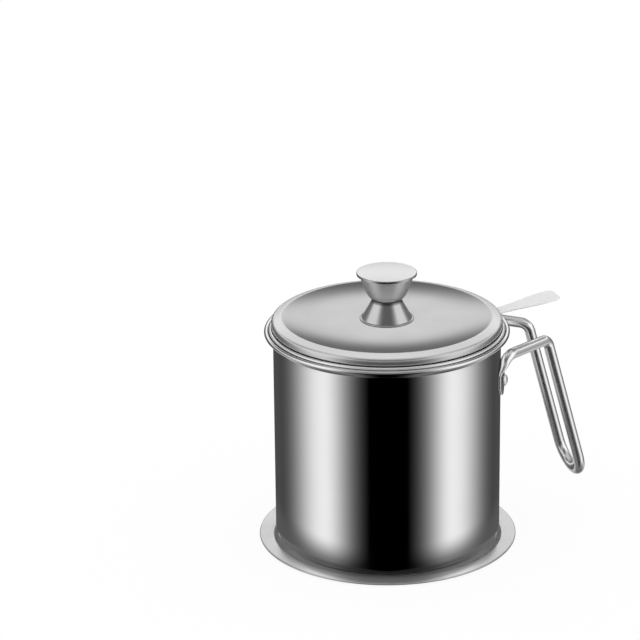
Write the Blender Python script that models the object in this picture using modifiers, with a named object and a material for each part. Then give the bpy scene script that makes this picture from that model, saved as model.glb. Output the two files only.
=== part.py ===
"""Stainless steel pot for kept cooking fat, with its strainer, lid and drip tray.

Metres, +Z up. The origin is the centre of the tray's flat underside and +X
points along the wire handle. Each loose piece hangs on an empty that stands on
the common vertical axis: the pot lifts off the tray, the strainer out of the
pot and the lid off the strainer.
"""
import math

import bmesh
import bpy
from mathutils import Matrix, Vector

# Shared values
GAP = 0.0003
MERGE_DISTANCE = 0.00001
CUT_OVERRUN = 0.002
LARGE_SEGMENTS = 40
KNOB_SEGMENTS = 24
SMALL_SEGMENTS = 16
SMOOTH_ANGLE = 40

# Drip tray
TRAY_SHEET = 0.0006
TRAY_HEIGHT = 0.002
TRAY_FLANGE_WIDTH = 0.0073
TRAY_WELL_CLEARANCE = 0.0019
TRAY_STEP_WIDTH = 0.0034
TRAY_STEP_POINTS = 5
TRAY_EDGE_RADIUS = 0.0006

# Pot
POT_RADIUS = 0.0625
POT_HEIGHT = 0.1221
POT_SHEET = 0.0006
POT_CORNER_RADIUS = 0.008
POT_RIM_OVERHANG = 0.0049
POT_CURL_RADIUS = 0.0013
POT_FLARE_HEIGHT = 0.0045
POT_FLARE_SHARES = (0.66, 0.33, 0.0)
CURL_END_ANGLE = -75
CURL_STEPS = 5

# Strainer
STRAINER_SHEET = 0.0005
STRAINER_CURL_RADIUS = 0.0011
STRAINER_SEAT_ANGLE = 149
STRAINER_LEDGE_DROP = 0.0005
STRAINER_BEND_RADIUS = 0.00065
STRAINER_WALL_CLEARANCE = 0.0006
STRAINER_DEPTH = 0.0205
STRAINER_TAPER = 0.0015
STRAINER_FLANGE_WIDTH = 0.0045

# Strainer cloth, drawn with coarse bars, and the ring that grips its edge
CLOTH_PITCH = 0.012
CLOTH_BAR = 0.0011
CLOTH_SAG = 0.005
CLAMP_SHEET = 0.0005
CLAMP_WIDTH = 0.0042

# Strainer strap
STRAP_LENGTH = 0.0363
STRAP_THICKNESS = 0.0009
STRAP_ROOT_WIDTH = 0.0084
STRAP_TIP_WIDTH = 0.0148
STRAP_TIP_CORNER = 0.0035
STRAP_EDGE_ROUND = 0.0002
STRAP_RISE_ANGLE = 8.5
STRAP_NECK_SHARE = 0.08
STRAP_FULL_SHARE = 0.78
STRAP_FLARE_STEPS = 5

# Lid
LID_SHEET = 0.0006
LID_INSET = 0.0004
LID_EDGE_HEIGHT = 0.00495
LID_RING_WIDTH = 0.0054
LID_RING_SLOPE_ANGLE = 16.5
LID_SHOULDER_RADIUS = 0.0022
LID_DISH_DEPTH = 0.0019
LID_DISH_POWER = 3
LID_DISH_STEPS = 7
LID_SEAT_RADIUS = 0.0165
LID_HEM_WIDTH = 0.0019
LID_HEM_RADIUS = 0.0009

# Knob and the screw that holds it
KNOB_SHEET = 0.0006
STEM_HEIGHT = 0.0116
STEM_FOOT_RADIUS = 0.0148
STEM_FOOT_WIDTH = 0.001
STEM_FOOT_RISE = 0.0003
STEM_WAIST_RADIUS = 0.008
BOWL_HEIGHT = 0.014
BOWL_RIM_RADIUS = 0.015
BOWL_PROFILE_SHARES = ((1.0, 1.0), (0.94, 0.77), (0.85, 0.49), (0.75, 0.24), (0.66, 0.08), (0.54, 0.0))
CAP_RADIUS = 0.0165
CAP_SHEET = 0.0006
CAP_CROWN = 0.0009
CAP_CROWN_SHARES = (0.35, 0.65, 0.88)
CAP_LIP_HEIGHT = 0.0007
CAP_EDGE_RADIUS = 0.00035
CAP_EDGE_START_ANGLE = 70
CAP_SPIGOT_DEPTH = 0.0022
SCREW_RADIUS = 0.002
SCREW_HEAD_RADIUS = 0.0039
SCREW_HEAD_HEIGHT = 0.0024
SCREW_HEAD_SHARES = ((1.0, 0.5), (0.86, 0.85), (0.6, 1.0))
SCREW_TIP_CHAMFER = 0.0005
SCREW_SLOT_WIDTH = 0.0009
SCREW_SLOT_DEPTH = 0.0011
SCREW_TIP_PROJECTION = 0.0012
WASHER_RADIUS = 0.005
WASHER_THICKNESS = 0.0008
NUT_FLATS_WIDTH = 0.007
NUT_HEIGHT = 0.0032

# Wire handle with flattened ears, and its rivets
WIRE_RADIUS = 0.003
WIRE_SIDES = 12
EAR_AZIMUTH = 32
EAR_WIDTH = 0.0136
EAR_THICKNESS = 0.002
EAR_LENGTH = 0.0142
EAR_TIP_ANGLES = (14, 32, 52, 74)
EAR_FLAT_MARGIN = 0.0012
EAR_CORNER_POWER = 0.62
RIVET_TO_EAR_END = 0.0085
HANDLE_BELOW_RIM = 0.0117
ELBOW_STANDOFF = 0.0044
ELBOW_ABOVE_EAR = 0.0087
NECK_BEND_RADIUS = 0.007
ELBOW_BEND_RADIUS = 0.0055
GRIP_STANDOFF = 0.0275
GRIP_TOP_FALL = 0.0029
GRIP_BEND_RADIUS = 0.006
GRIP_SPACING = 0.0268
GRIP_LENGTH = 0.0756
GRIP_LEAN_ANGLE = 15.4
BEND_STEPS = 4
LOOP_STEPS = 5
RIVET_RADIUS = 0.002
RIVET_HEAD_RADIUS = 0.0034
RIVET_HEAD_HEIGHT = 0.0021
RIVET_TAIL_RADIUS = 0.0031
RIVET_TAIL_HEIGHT = 0.0011
RIVET_DOME_SHARES = ((1.0, 0.0), (0.97, 0.35), (0.8, 0.7), (0.5, 0.92), (0.0, 1.0))

# Values that follow from the ones above
HOLE_RADIUS = SCREW_RADIUS + GAP
RIVET_HOLE_RADIUS = RIVET_RADIUS + GAP
EAR_FLAT_LENGTH = RIVET_TO_EAR_END + RIVET_HOLE_RADIUS + EAR_FLAT_MARGIN
POT_BASE_Z = TRAY_SHEET + GAP
TRAY_LIP_RADIUS = POT_RADIUS + TRAY_WELL_CLEARANCE
TRAY_RADIUS = TRAY_LIP_RADIUS + TRAY_FLANGE_WIDTH
POT_CURL_R = POT_RADIUS + POT_RIM_OVERHANG - POT_CURL_RADIUS
POT_CURL_Z = POT_HEIGHT - POT_CURL_RADIUS
SEAT_DISTANCE = POT_CURL_RADIUS + STRAINER_CURL_RADIUS + GAP
STRAINER_CURL_R = POT_CURL_R + SEAT_DISTANCE * math.cos(math.radians(STRAINER_SEAT_ANGLE))
STRAINER_SEAT_Z = POT_CURL_Z + SEAT_DISTANCE * math.sin(math.radians(STRAINER_SEAT_ANGLE))
STRAINER_WALL_R = POT_RADIUS - POT_SHEET - STRAINER_WALL_CLEARANCE - STRAINER_SHEET / 2
STRAINER_LEDGE_Z = -STRAINER_LEDGE_DROP - STRAINER_SHEET / 2
STRAINER_FLOOR_Z = STRAINER_LEDGE_Z - STRAINER_DEPTH
STRAINER_FLOOR_R = STRAINER_WALL_R - STRAINER_TAPER
STRAINER_MOUTH_R = STRAINER_FLOOR_R - STRAINER_FLANGE_WIDTH
CLOTH_Z = STRAINER_FLOOR_Z - STRAINER_SHEET / 2 - GAP - CLOTH_BAR / 2
CLOTH_RADIUS = STRAINER_FLOOR_R - CLAMP_SHEET - GAP
CLAMP_RADIUS = STRAINER_FLOOR_R
LID_RADIUS = STRAINER_CURL_R - LID_INSET
LID_SEAT_DISTANCE = STRAINER_CURL_RADIUS + LID_HEM_RADIUS + GAP
LID_SEAT_SIDE = LID_INSET + LID_HEM_RADIUS
LID_SEAT_Z = math.sqrt(LID_SEAT_DISTANCE ** 2 - LID_SEAT_SIDE ** 2) - LID_HEM_RADIUS
LID_RING_SLOPE = math.radians(LID_RING_SLOPE_ANGLE)
LID_CREST_RADIUS = LID_RADIUS - LID_RING_WIDTH
LID_SHOULDER_R = LID_RADIUS - LID_SHOULDER_RADIUS
LID_SHOULDER_Z = LID_EDGE_HEIGHT - LID_SHOULDER_RADIUS
LID_RING_RUN = LID_SHOULDER_R + LID_SHOULDER_RADIUS * math.sin(LID_RING_SLOPE) - LID_CREST_RADIUS
LID_RING_FALL = LID_RING_RUN * math.tan(LID_RING_SLOPE)
LID_CREST_Z = LID_SHOULDER_Z + LID_SHOULDER_RADIUS * math.cos(LID_RING_SLOPE) + LID_RING_FALL
LID_CENTRE_Z = LID_CREST_Z - LID_DISH_DEPTH
STEM_Z = LID_CENTRE_Z + GAP
BOWL_Z = STEM_Z + STEM_HEIGHT + GAP
CAP_Z = BOWL_Z + BOWL_HEIGHT + GAP
NUT_Z = BOWL_Z + KNOB_SHEET + GAP
WASHER_Z = LID_CENTRE_Z - LID_SHEET - GAP - WASHER_THICKNESS
SCREW_Z = WASHER_Z - GAP
HANDLE_TOP_Z = POT_HEIGHT - HANDLE_BELOW_RIM
EAR_RADIUS = POT_RADIUS + GAP + EAR_THICKNESS / 2
EAR_TOP_Z = HANDLE_TOP_Z - ELBOW_ABOVE_EAR
EAR_END_Z = EAR_TOP_Z - EAR_LENGTH
RIVET_Z = EAR_END_Z + RIVET_TO_EAR_END


def start_scene():
    """Empty the scene and make one collection for the parts and one for the cutters."""
    for item in list(bpy.data.objects):
        bpy.data.objects.remove(item, do_unlink=True)
    made = []
    for name in ("grease_keeper", "cutters"):
        collection = bpy.data.collections.new(name)
        bpy.context.scene.collection.children.link(collection)
        made.append(collection)
    return made


PARTS, CUTTERS = start_scene()


def steel(name, grey, roughness):
    """Give a stainless steel material of one grey and roughness."""
    finish = bpy.data.materials.new(name)
    finish.use_nodes = True
    shader = finish.node_tree.nodes["Principled BSDF"]
    shader.inputs["Base Color"].default_value = (grey, grey, grey, 1.0)
    shader.inputs["Metallic"].default_value = 1.0
    shader.inputs["Roughness"].default_value = roughness
    return finish


def add_object(name, data, finish=None, parent=None, collection=None):
    """Link a new object that holds data, with its material and its parent."""
    item = bpy.data.objects.new(name, data)
    (collection or PARTS).objects.link(item)
    item.parent = parent
    if finish:
        data.materials.append(finish)
    return item


def lift_axis(name, height, parent=None):
    """Place an empty on the vertical axis that a loose piece slides along."""
    empty = add_object(name, None, parent=parent)
    empty.empty_display_size = POT_RADIUS
    empty.location = (0, 0, height)
    return empty


def arc(centre_r, centre_z, radius, start, end, steps):
    """List points on an arc in the (r, z) plane, between two angles in degrees."""
    points = []
    for step in range(steps + 1):
        angle = math.radians(start + (end - start) * step / steps)
        points.append((centre_r + radius * math.cos(angle), centre_z + radius * math.sin(angle)))
    return points


def smoothstep(share):
    """Ease from 0 to 1 with level ends."""
    return share * share * (3 - 2 * share)


def turned(name, points, finish, parent, segments, sheet=0, closed=False):
    """Turn a profile about the vertical axis; a sheet profile is its middle line.

    The points run down the outer side of the piece. A closed profile makes a
    solid by itself, and an open one gets its wall from Solidify.
    """
    mesh = bpy.data.meshes.new(name)
    edges = [(i, i + 1) for i in range(len(points) - 1)]
    if closed:
        edges.append((len(points) - 1, 0))
    mesh.from_pydata([(r, 0, z) for r, z in points], edges, [])
    item = add_object(name, mesh, finish, parent)
    screw = item.modifiers.new("turn", "SCREW")
    screw.axis = "Z"
    screw.steps = segments
    screw.render_steps = segments
    screw.use_merge_vertices = True
    screw.merge_threshold = MERGE_DISTANCE
    screw.use_smooth_shade = True
    if sheet:
        wall = item.modifiers.new("wall", "SOLIDIFY")
        wall.thickness = sheet
        wall.offset = 0
        wall.use_even_offset = True
    return item


def cut(item, cutter, operation="DIFFERENCE"):
    """Cut an object with another, or keep only what lies inside it."""
    boolean = item.modifiers.new(cutter.name, "BOOLEAN")
    boolean.object = cutter
    boolean.operation = operation
    boolean.solver = "EXACT"


def hide_cutter(item):
    """Show a cutter as wires only."""
    item.display_type = "WIRE"
    item.hide_render = True


def drip_tray(finish):
    """Shallow pressed tray: turned-down edge, flat flange, soft step down, flat floor."""
    half = TRAY_SHEET / 2
    flange_z = TRAY_HEIGHT - half
    edge = TRAY_EDGE_RADIUS - half
    points = arc(TRAY_RADIUS - half - edge, flange_z - edge, edge, 0, 90, 2)
    for step in range(TRAY_STEP_POINTS + 1):
        share = step / TRAY_STEP_POINTS
        drop = (TRAY_HEIGHT - TRAY_SHEET) * smoothstep(share)
        points.append((TRAY_LIP_RADIUS - TRAY_STEP_WIDTH * share, flange_z - drop))
    points.append((0, half))
    return turned("drip_tray", points, finish, None, LARGE_SEGMENTS, TRAY_SHEET)


def pot_body(finish, parent):
    """Deep-drawn can: rim curled outward, short flare, straight wall, round corner."""
    half = POT_SHEET / 2
    wall_r = POT_RADIUS - half
    curl = POT_CURL_RADIUS - half
    points = arc(POT_CURL_R, POT_CURL_Z, curl, CURL_END_ANGLE, 180, CURL_STEPS)
    throat_r = POT_CURL_R - curl
    for share in POT_FLARE_SHARES:
        reach = smoothstep(share) * (throat_r - wall_r)
        points.append((wall_r + reach, POT_CURL_Z - POT_FLARE_HEIGHT * (1 - share)))
    corner = POT_CORNER_RADIUS - half
    points += arc(POT_RADIUS - POT_CORNER_RADIUS, POT_CORNER_RADIUS, corner, 0, -90, 4)
    points.append((0, half))
    return turned("pot_body", points, finish, parent, LARGE_SEGMENTS, POT_SHEET)


def strainer_ring(finish, parent):
    """Strainer frame: curled rim, small step in the mouth, tapered wall, inward floor flange."""
    half = STRAINER_SHEET / 2
    curl = STRAINER_CURL_RADIUS - half
    bend = STRAINER_BEND_RADIUS - half
    inner_r = STRAINER_CURL_R - curl
    points = arc(STRAINER_CURL_R, 0, curl, CURL_END_ANGLE, 180, CURL_STEPS)
    points += arc(inner_r - bend, STRAINER_LEDGE_Z + bend, bend, 0, -90, 2)
    points += arc(STRAINER_WALL_R + bend, STRAINER_LEDGE_Z - bend, bend, 90, 180, 2)
    points += arc(STRAINER_FLOOR_R - bend, STRAINER_FLOOR_Z + bend, bend, 0, -90, 2)
    points.append((STRAINER_MOUTH_R, STRAINER_FLOOR_Z))
    return turned("strainer_ring", points, finish, parent, LARGE_SEGMENTS, STRAINER_SHEET)


def strainer_cloth(finish, parent):
    """Sagging square lattice, trimmed round, that stands for the fine wire cloth."""
    cells = 2 * math.ceil(CLOTH_RADIUS / CLOTH_PITCH) + 1
    sag_radius = STRAINER_MOUTH_R - GAP
    work = bmesh.new()
    bmesh.ops.create_grid(work, x_segments=cells, y_segments=cells, size=cells * CLOTH_PITCH / 2)
    for vertex in work.verts:
        span = min(1.0, vertex.co.to_2d().length / sag_radius)
        vertex.co.z = CLOTH_Z - CLOTH_SAG * (1 - span * span)
    mesh = bpy.data.meshes.new("strainer_cloth")
    work.to_mesh(mesh)
    work.free()
    item = add_object("strainer_cloth", mesh, finish, parent)
    bars = item.modifiers.new("bars", "WIREFRAME")
    bars.thickness = CLOTH_BAR
    bars.use_even_offset = False
    bars.use_boundary = True
    rim = CLOTH_SAG + CLOTH_BAR
    outline = [(CLOTH_RADIUS, CLOTH_Z + rim), (CLOTH_RADIUS, CLOTH_Z - 2 * rim), (0, CLOTH_Z - 2 * rim)]
    outline.append((0, CLOTH_Z + rim))
    trim = turned("cloth_trim", outline, None, parent, LARGE_SEGMENTS, closed=True)
    PARTS.objects.unlink(trim)
    CUTTERS.objects.link(trim)
    hide_cutter(trim)
    cut(item, trim, "INTERSECT")
    return item


def cloth_clamp(finish, parent):
    """Angle-section ring pressed up against the cloth, with a lip round its edge."""
    top = CLOTH_Z + CLOTH_BAR / 2
    shelf = CLOTH_Z - CLOTH_BAR / 2 - GAP
    lip_r = CLAMP_RADIUS - CLAMP_SHEET
    inner_r = CLAMP_RADIUS - CLAMP_WIDTH
    outline = [(lip_r, top), (CLAMP_RADIUS, top), (CLAMP_RADIUS, shelf - CLAMP_SHEET)]
    outline += [(inner_r, shelf - CLAMP_SHEET), (inner_r, shelf), (lip_r, shelf)]
    return turned("cloth_clamp_ring", outline, finish, parent, LARGE_SEGMENTS, closed=True)


def strap_outline():
    """List the strap's plan: root hollowed to the rim, neck, flare, rounded tip."""
    root_radius = STRAINER_CURL_R + STRAINER_CURL_RADIUS + GAP
    root_half = STRAP_ROOT_WIDTH / 2
    tip_half = STRAP_TIP_WIDTH / 2
    corner = STRAP_TIP_CORNER
    side = []
    for share in (0.0, 0.5, 1.0):
        y = root_half * share
        side.append((math.sqrt(root_radius ** 2 - y ** 2) - root_radius, y))
    neck = STRAP_LENGTH * STRAP_NECK_SHARE
    full = STRAP_LENGTH * STRAP_FULL_SHARE
    for step in range(STRAP_FLARE_STEPS + 1):
        share = step / STRAP_FLARE_STEPS
        side.append((neck + (full - neck) * share, root_half + (tip_half - root_half) * smoothstep(share)))
    for x, y in arc(STRAP_LENGTH - corner, tip_half - corner, corner, 90, 0, 4):
        side.append((x, y))
    mirrored = [(x, -y) for x, y in reversed(side) if y > 0]
    return side + mirrored


def strainer_strap(finish, parent):
    """Flat strap welded to the rim; it clears the pot's curl and rises outward."""
    curve = bpy.data.curves.new("strainer_strap", "CURVE")
    curve.dimensions = "2D"
    curve.fill_mode = "BOTH"
    curve.extrude = STRAP_THICKNESS / 2
    outline = strap_outline()
    spline = curve.splines.new("POLY")
    spline.points.add(len(outline) - 1)
    for point, (x, y) in zip(spline.points, outline):
        point.co = (x, y, 0, 1)
    spline.use_cyclic_u = True
    item = add_object("strainer_strap", curve, finish, parent)
    rise = math.radians(STRAP_RISE_ANGLE)
    root_r = STRAINER_CURL_R + STRAINER_CURL_RADIUS + GAP
    rim_top = POT_HEIGHT - STRAINER_SEAT_Z
    over_curl_z = rim_top + GAP + STRAP_THICKNESS / 2 / math.cos(rise)
    item.location = (root_r, 0, over_curl_z - (POT_CURL_R - root_r) * math.tan(rise))
    item.rotation_euler = (0, -rise, 0)
    weld = item.modifiers.new("weld", "WELD")
    weld.merge_threshold = MERGE_DISTANCE
    edge = item.modifiers.new("edge", "BEVEL")
    edge.width = STRAP_EDGE_ROUND
    edge.segments = 1
    edge.limit_method = "ANGLE"
    return item


def lid_shell(finish, parent):
    """Pressed lid: shallow dish up to a crest, ring that slopes outward, skirt, turned-in hem."""
    half = LID_SHEET / 2
    crest_z = LID_CREST_Z - half
    centre_z = LID_CENTRE_Z - half
    skirt_r = LID_RADIUS - half
    points = [(HOLE_RADIUS, centre_z)]
    for step in range(LID_DISH_STEPS + 1):
        share = step / LID_DISH_STEPS
        r = LID_SEAT_RADIUS + (LID_CREST_RADIUS - LID_SEAT_RADIUS) * share
        points.append((r, centre_z + (crest_z - centre_z) * share ** LID_DISH_POWER))
    shoulder = LID_SHOULDER_RADIUS - half
    points += arc(LID_SHOULDER_R, LID_SHOULDER_Z, shoulder, 90 - LID_RING_SLOPE_ANGLE, 0, 3)
    hem = LID_HEM_RADIUS - half
    points += arc(skirt_r - hem, half + hem, hem, 0, -90, 2)
    points.append((LID_RADIUS - LID_HEM_WIDTH, half))
    return turned("lid_shell", points, finish, parent, LARGE_SEGMENTS, LID_SHEET)


def knob_stem(finish, parent):
    """Hollow cone under the knob, with a small foot flange and a flat top."""
    half = KNOB_SHEET / 2
    top_z = STEM_HEIGHT - half
    waist_r = STEM_WAIST_RADIUS - half
    cone_r = STEM_FOOT_RADIUS - STEM_FOOT_WIDTH
    points = [(HOLE_RADIUS, top_z), (waist_r - KNOB_SHEET, top_z), (waist_r, top_z - KNOB_SHEET)]
    points += [(cone_r, STEM_FOOT_RISE + half), (STEM_FOOT_RADIUS, half)]
    item = turned("knob_stem", points, finish, parent, KNOB_SEGMENTS, KNOB_SHEET)
    item.location = (0, 0, STEM_Z)
    return item


def knob_bowl(finish, parent):
    """Flared upper half of the knob, open at the top under its cap."""
    half = KNOB_SHEET / 2
    points = []
    for radius_share, height_share in BOWL_PROFILE_SHARES:
        points.append((BOWL_RIM_RADIUS * radius_share - half, half + (BOWL_HEIGHT - half) * height_share))
    points.append((HOLE_RADIUS, half))
    item = turned("knob_bowl", points, finish, parent, KNOB_SEGMENTS, KNOB_SHEET)
    item.location = (0, 0, BOWL_Z)
    return item


def knob_cap(finish, parent):
    """Crowned disc with a turned-down lip outside and a spigot inside the bowl."""
    edge = CAP_EDGE_RADIUS
    lip_r = CAP_RADIUS - CAP_SHEET
    lip_z = CAP_SHEET - CAP_LIP_HEIGHT
    spigot_r = BOWL_RIM_RADIUS - KNOB_SHEET * 2 - GAP
    outline = [(0, CAP_SHEET + CAP_CROWN)]
    for share in CAP_CROWN_SHARES:
        outline.append((CAP_RADIUS * share, CAP_SHEET + CAP_CROWN * (1 - share * share)))
    outline += arc(CAP_RADIUS - edge, CAP_SHEET - edge, edge, CAP_EDGE_START_ANGLE, 0, 2)
    outline += [(CAP_RADIUS, lip_z), (lip_r, lip_z), (lip_r, 0), (spigot_r, 0)]
    outline += [(spigot_r, -CAP_SPIGOT_DEPTH), (spigot_r - CAP_SHEET, -CAP_SPIGOT_DEPTH)]
    outline += [(spigot_r - CAP_SHEET, 0), (0, 0)]
    item = turned("knob_cap", outline, finish, parent, KNOB_SEGMENTS, closed=True)
    item.location = (0, 0, CAP_Z)
    return item


def knob_nut(finish, parent):
    """Hexagon nut on the floor of the bowl."""
    work = bmesh.new()
    corner = NUT_FLATS_WIDTH / 2 / math.cos(math.radians(30))
    bmesh.ops.create_cone(
        work, cap_ends=True, segments=6, radius1=corner, radius2=corner, depth=NUT_HEIGHT)
    mesh = bpy.data.meshes.new("knob_nut")
    work.to_mesh(mesh)
    work.free()
    item = add_object("knob_nut", mesh, finish, parent)
    item.location = (0, 0, NUT_Z + NUT_HEIGHT / 2)
    bore = round_cutter("nut_bore", HOLE_RADIUS, NUT_HEIGHT + CUT_OVERRUN * 2, parent)
    bore.location = item.location
    cut(item, bore)
    return item


def knob_screw(finish, parent):
    """Slotted pan-head screw, put in from below the lid and up into the nut."""
    length = NUT_Z + NUT_HEIGHT + SCREW_TIP_PROJECTION - SCREW_Z
    chamfer = SCREW_TIP_CHAMFER
    outline = [(0, length), (SCREW_RADIUS - chamfer, length), (SCREW_RADIUS, length - chamfer)]
    outline += [(SCREW_RADIUS, 0), (SCREW_HEAD_RADIUS, 0)]
    for radius_share, height_share in SCREW_HEAD_SHARES:
        outline.append((SCREW_HEAD_RADIUS * radius_share, -SCREW_HEAD_HEIGHT * height_share))
    outline.append((0, -SCREW_HEAD_HEIGHT))
    item = turned("knob_screw", outline, finish, parent, SMALL_SEGMENTS, closed=True)
    item.location = (0, 0, SCREW_Z)
    work = bmesh.new()
    bmesh.ops.create_cube(work, size=1)
    size = (SCREW_HEAD_RADIUS * 2 + CUT_OVERRUN, SCREW_SLOT_WIDTH, SCREW_SLOT_DEPTH * 2)
    bmesh.ops.scale(work, vec=size, verts=work.verts)
    mesh = bpy.data.meshes.new("screw_slot")
    work.to_mesh(mesh)
    work.free()
    slot = add_object("screw_slot", mesh, parent=parent, collection=CUTTERS)
    slot.location = (0, 0, SCREW_Z - SCREW_HEAD_HEIGHT)
    hide_cutter(slot)
    cut(item, slot)
    return item


def screw_washer(finish, parent):
    """Plain washer between the screw's head and the lid."""
    top = WASHER_THICKNESS
    outline = [(HOLE_RADIUS, top), (WASHER_RADIUS, top), (WASHER_RADIUS, 0), (HOLE_RADIUS, 0)]
    item = turned("screw_washer", outline, finish, parent, SMALL_SEGMENTS, closed=True)
    item.location = (0, 0, WASHER_Z)
    return item


def round_cutter(name, radius, depth, parent):
    """Make a cylinder about its own centre that only cuts."""
    work = bmesh.new()
    bmesh.ops.create_cone(
        work, cap_ends=True, segments=SMALL_SEGMENTS, radius1=radius, radius2=radius, depth=depth)
    mesh = bpy.data.meshes.new(name)
    work.to_mesh(mesh)
    work.free()
    item = add_object(name, mesh, parent=parent, collection=CUTTERS)
    hide_cutter(item)
    return item


def radial_matrix(side, radius, height):
    """Stand local +Z outward along the ear's azimuth, at a radius and a height."""
    turn = Matrix.Rotation(math.radians(EAR_AZIMUTH * side), 4, "Z")
    lay = Matrix.Rotation(math.radians(90), 4, "Y")
    return turn @ Matrix.Translation((radius, 0, height)) @ lay


def rounded_route(corners, radii, steps):
    """Round each inner corner of a route of straight runs with an arc of its radius."""
    route = [corners[0]]
    for i in range(1, len(corners) - 1):
        before = (corners[i - 1] - corners[i]).normalized()
        after = (corners[i + 1] - corners[i]).normalized()
        half_angle = before.angle(after) / 2
        reach = radii[i - 1] / math.tan(half_angle)
        centre = corners[i] + (before + after).normalized() * (radii[i - 1] / math.sin(half_angle))
        first = corners[i] + before * reach - centre
        last = corners[i] + after * reach - centre
        for step in range(steps + 1):
            route.append(centre + first.normalized().slerp(last.normalized(), step / steps) * radii[i - 1])
    route.append(corners[-1])
    return route


def handle_route():
    """List the wire's middle line from one ear's end to the loop's lowest point."""
    azimuth = math.radians(EAR_AZIMUTH)
    outward = Vector((math.cos(azimuth), math.sin(azimuth), 0))
    lean = math.radians(GRIP_LEAN_ANGLE)
    down = Vector((math.sin(lean), 0, -math.cos(lean)))
    elbow_r = POT_RADIUS + ELBOW_STANDOFF
    ear_end = outward * EAR_RADIUS + Vector((0, 0, EAR_END_Z))
    ear_top = outward * EAR_RADIUS + Vector((0, 0, EAR_TOP_Z))
    elbow = outward * elbow_r + Vector((0, 0, HANDLE_TOP_Z))
    bend = Vector((POT_RADIUS + GRIP_STANDOFF, GRIP_SPACING / 2, HANDLE_TOP_Z - GRIP_TOP_FALL))
    grip_end = bend + down * GRIP_LENGTH
    corners = [ear_end, ear_top, elbow, bend, grip_end]
    route = rounded_route(corners, (NECK_BEND_RADIUS, ELBOW_BEND_RADIUS, GRIP_BEND_RADIUS), BEND_STEPS)
    loop_centre = Vector((grip_end.x, 0, grip_end.z))
    for step in range(1, LOOP_STEPS + 1):
        angle = math.pi / 2 * step / LOOP_STEPS
        reach = down * math.sin(angle) + Vector((0, math.cos(angle), 0))
        route.append(loop_centre + reach * (GRIP_SPACING / 2))
    route[-1].y = 0
    return route


def with_ear_stations(route):
    """Add stations along the round end of the ear, where the width changes fastest."""
    radius = EAR_WIDTH / 2
    end = route[0]
    along = (route[1] - route[0]).normalized()
    stations = []
    for angle in EAR_TIP_ANGLES:
        stations.append(end + along * radius * (1 - math.cos(math.radians(angle))))
    return stations + [end + along * EAR_FLAT_LENGTH] + route[1:]


def section_size(distance):
    """Give the half width and half thickness at a distance from the ear's end."""
    radius = EAR_WIDTH / 2
    wide = radius
    if distance < radius:
        wide = math.sqrt(radius ** 2 - (radius - distance) ** 2)
    neck_length = EAR_LENGTH + ELBOW_ABOVE_EAR - EAR_FLAT_LENGTH
    share = smoothstep(min(1, max(0, (distance - EAR_FLAT_LENGTH) / neck_length)))
    thick = EAR_THICKNESS / 2
    return wide + (WIRE_RADIUS - wide) * share, thick + (WIRE_RADIUS - thick) * share, share


def handle_sections():
    """Give each station's centre, its two cross axes and its half sizes, for half the wire."""
    route = handle_route()
    stations = with_ear_stations(route)
    azimuth = math.radians(EAR_AZIMUTH)
    wide_axis = Vector((-math.sin(azimuth), math.cos(azimuth), 0))
    distance = (stations[0] - route[0]).length
    previous = (stations[1] - stations[0]).normalized()
    sections = []
    for i, centre in enumerate(stations):
        behind = stations[max(i - 1, 0)]
        tangent = Vector((0, -1, 0))
        if i < len(stations) - 1:
            tangent = (stations[i + 1] - behind).normalized()
        wide_axis = previous.rotation_difference(tangent) @ wide_axis
        wide_axis = (wide_axis - tangent * wide_axis.dot(tangent)).normalized()
        previous = tangent
        distance += (centre - behind).length
        sections.append((centre, wide_axis.copy(), tangent.cross(wide_axis), section_size(distance)))
    return sections


def superellipse(angle, wide, thick, roundness):
    """Give a point of a section that goes from a flat paddle (0) to a circle (1)."""
    power = EAR_CORNER_POWER + (1 - EAR_CORNER_POWER) * roundness
    x = math.copysign(abs(math.cos(angle)) ** power, math.cos(angle))
    y = math.copysign(abs(math.sin(angle)) ** power, math.sin(angle))
    return x * wide, y * thick


def handle_wire(finish, parent, hole_cutters):
    """One bent wire: half is lofted through its sections and mirrored, then drilled."""
    work = bmesh.new()
    rings = []
    for centre, wide_axis, thick_axis, (wide, thick, roundness) in handle_sections():
        ring = []
        for side in range(WIRE_SIDES):
            angle = 2 * math.pi * side / WIRE_SIDES
            x, y = superellipse(angle, wide, thick, roundness)
            ring.append(work.verts.new(centre + wide_axis * x + thick_axis * y))
        rings.append(ring)
    for before, after in zip(rings, rings[1:]):
        for side in range(WIRE_SIDES):
            other = (side + 1) % WIRE_SIDES
            work.faces.new((before[side], before[other], after[other], after[side]))
    work.faces.new(list(reversed(rings[0])))
    mesh = bpy.data.meshes.new("handle_wire")
    work.to_mesh(mesh)
    work.free()
    mesh.shade_smooth()
    mesh.set_sharp_from_angle(angle=math.radians(SMOOTH_ANGLE))
    item = add_object("handle_wire", mesh, finish, parent)
    mirror = item.modifiers.new("other_half", "MIRROR")
    mirror.use_axis = (False, True, False)
    mirror.merge_threshold = MERGE_DISTANCE
    for cutter in hole_cutters:
        cut(item, cutter)
    return item


def handle_rivet(name, side, finish, parent):
    """Round-head rivet through an ear and the pot's wall, closed inside the pot."""
    ear_face = POT_RADIUS + GAP + EAR_THICKNESS + GAP
    wall_face = POT_RADIUS - POT_SHEET - GAP
    grip = ear_face - wall_face
    outline = []
    for radius_share, height_share in reversed(RIVET_DOME_SHARES):
        outline.append((RIVET_HEAD_RADIUS * radius_share, grip + RIVET_HEAD_HEIGHT * height_share))
    outline += [(RIVET_RADIUS, grip), (RIVET_RADIUS, 0)]
    for radius_share, height_share in RIVET_DOME_SHARES:
        outline.append((RIVET_TAIL_RADIUS * radius_share, -RIVET_TAIL_HEIGHT * height_share))
    item = turned(name, outline, finish, parent, SMALL_SEGMENTS, closed=True)
    item.matrix_local = radial_matrix(side, wall_face, RIVET_Z)
    return item


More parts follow.
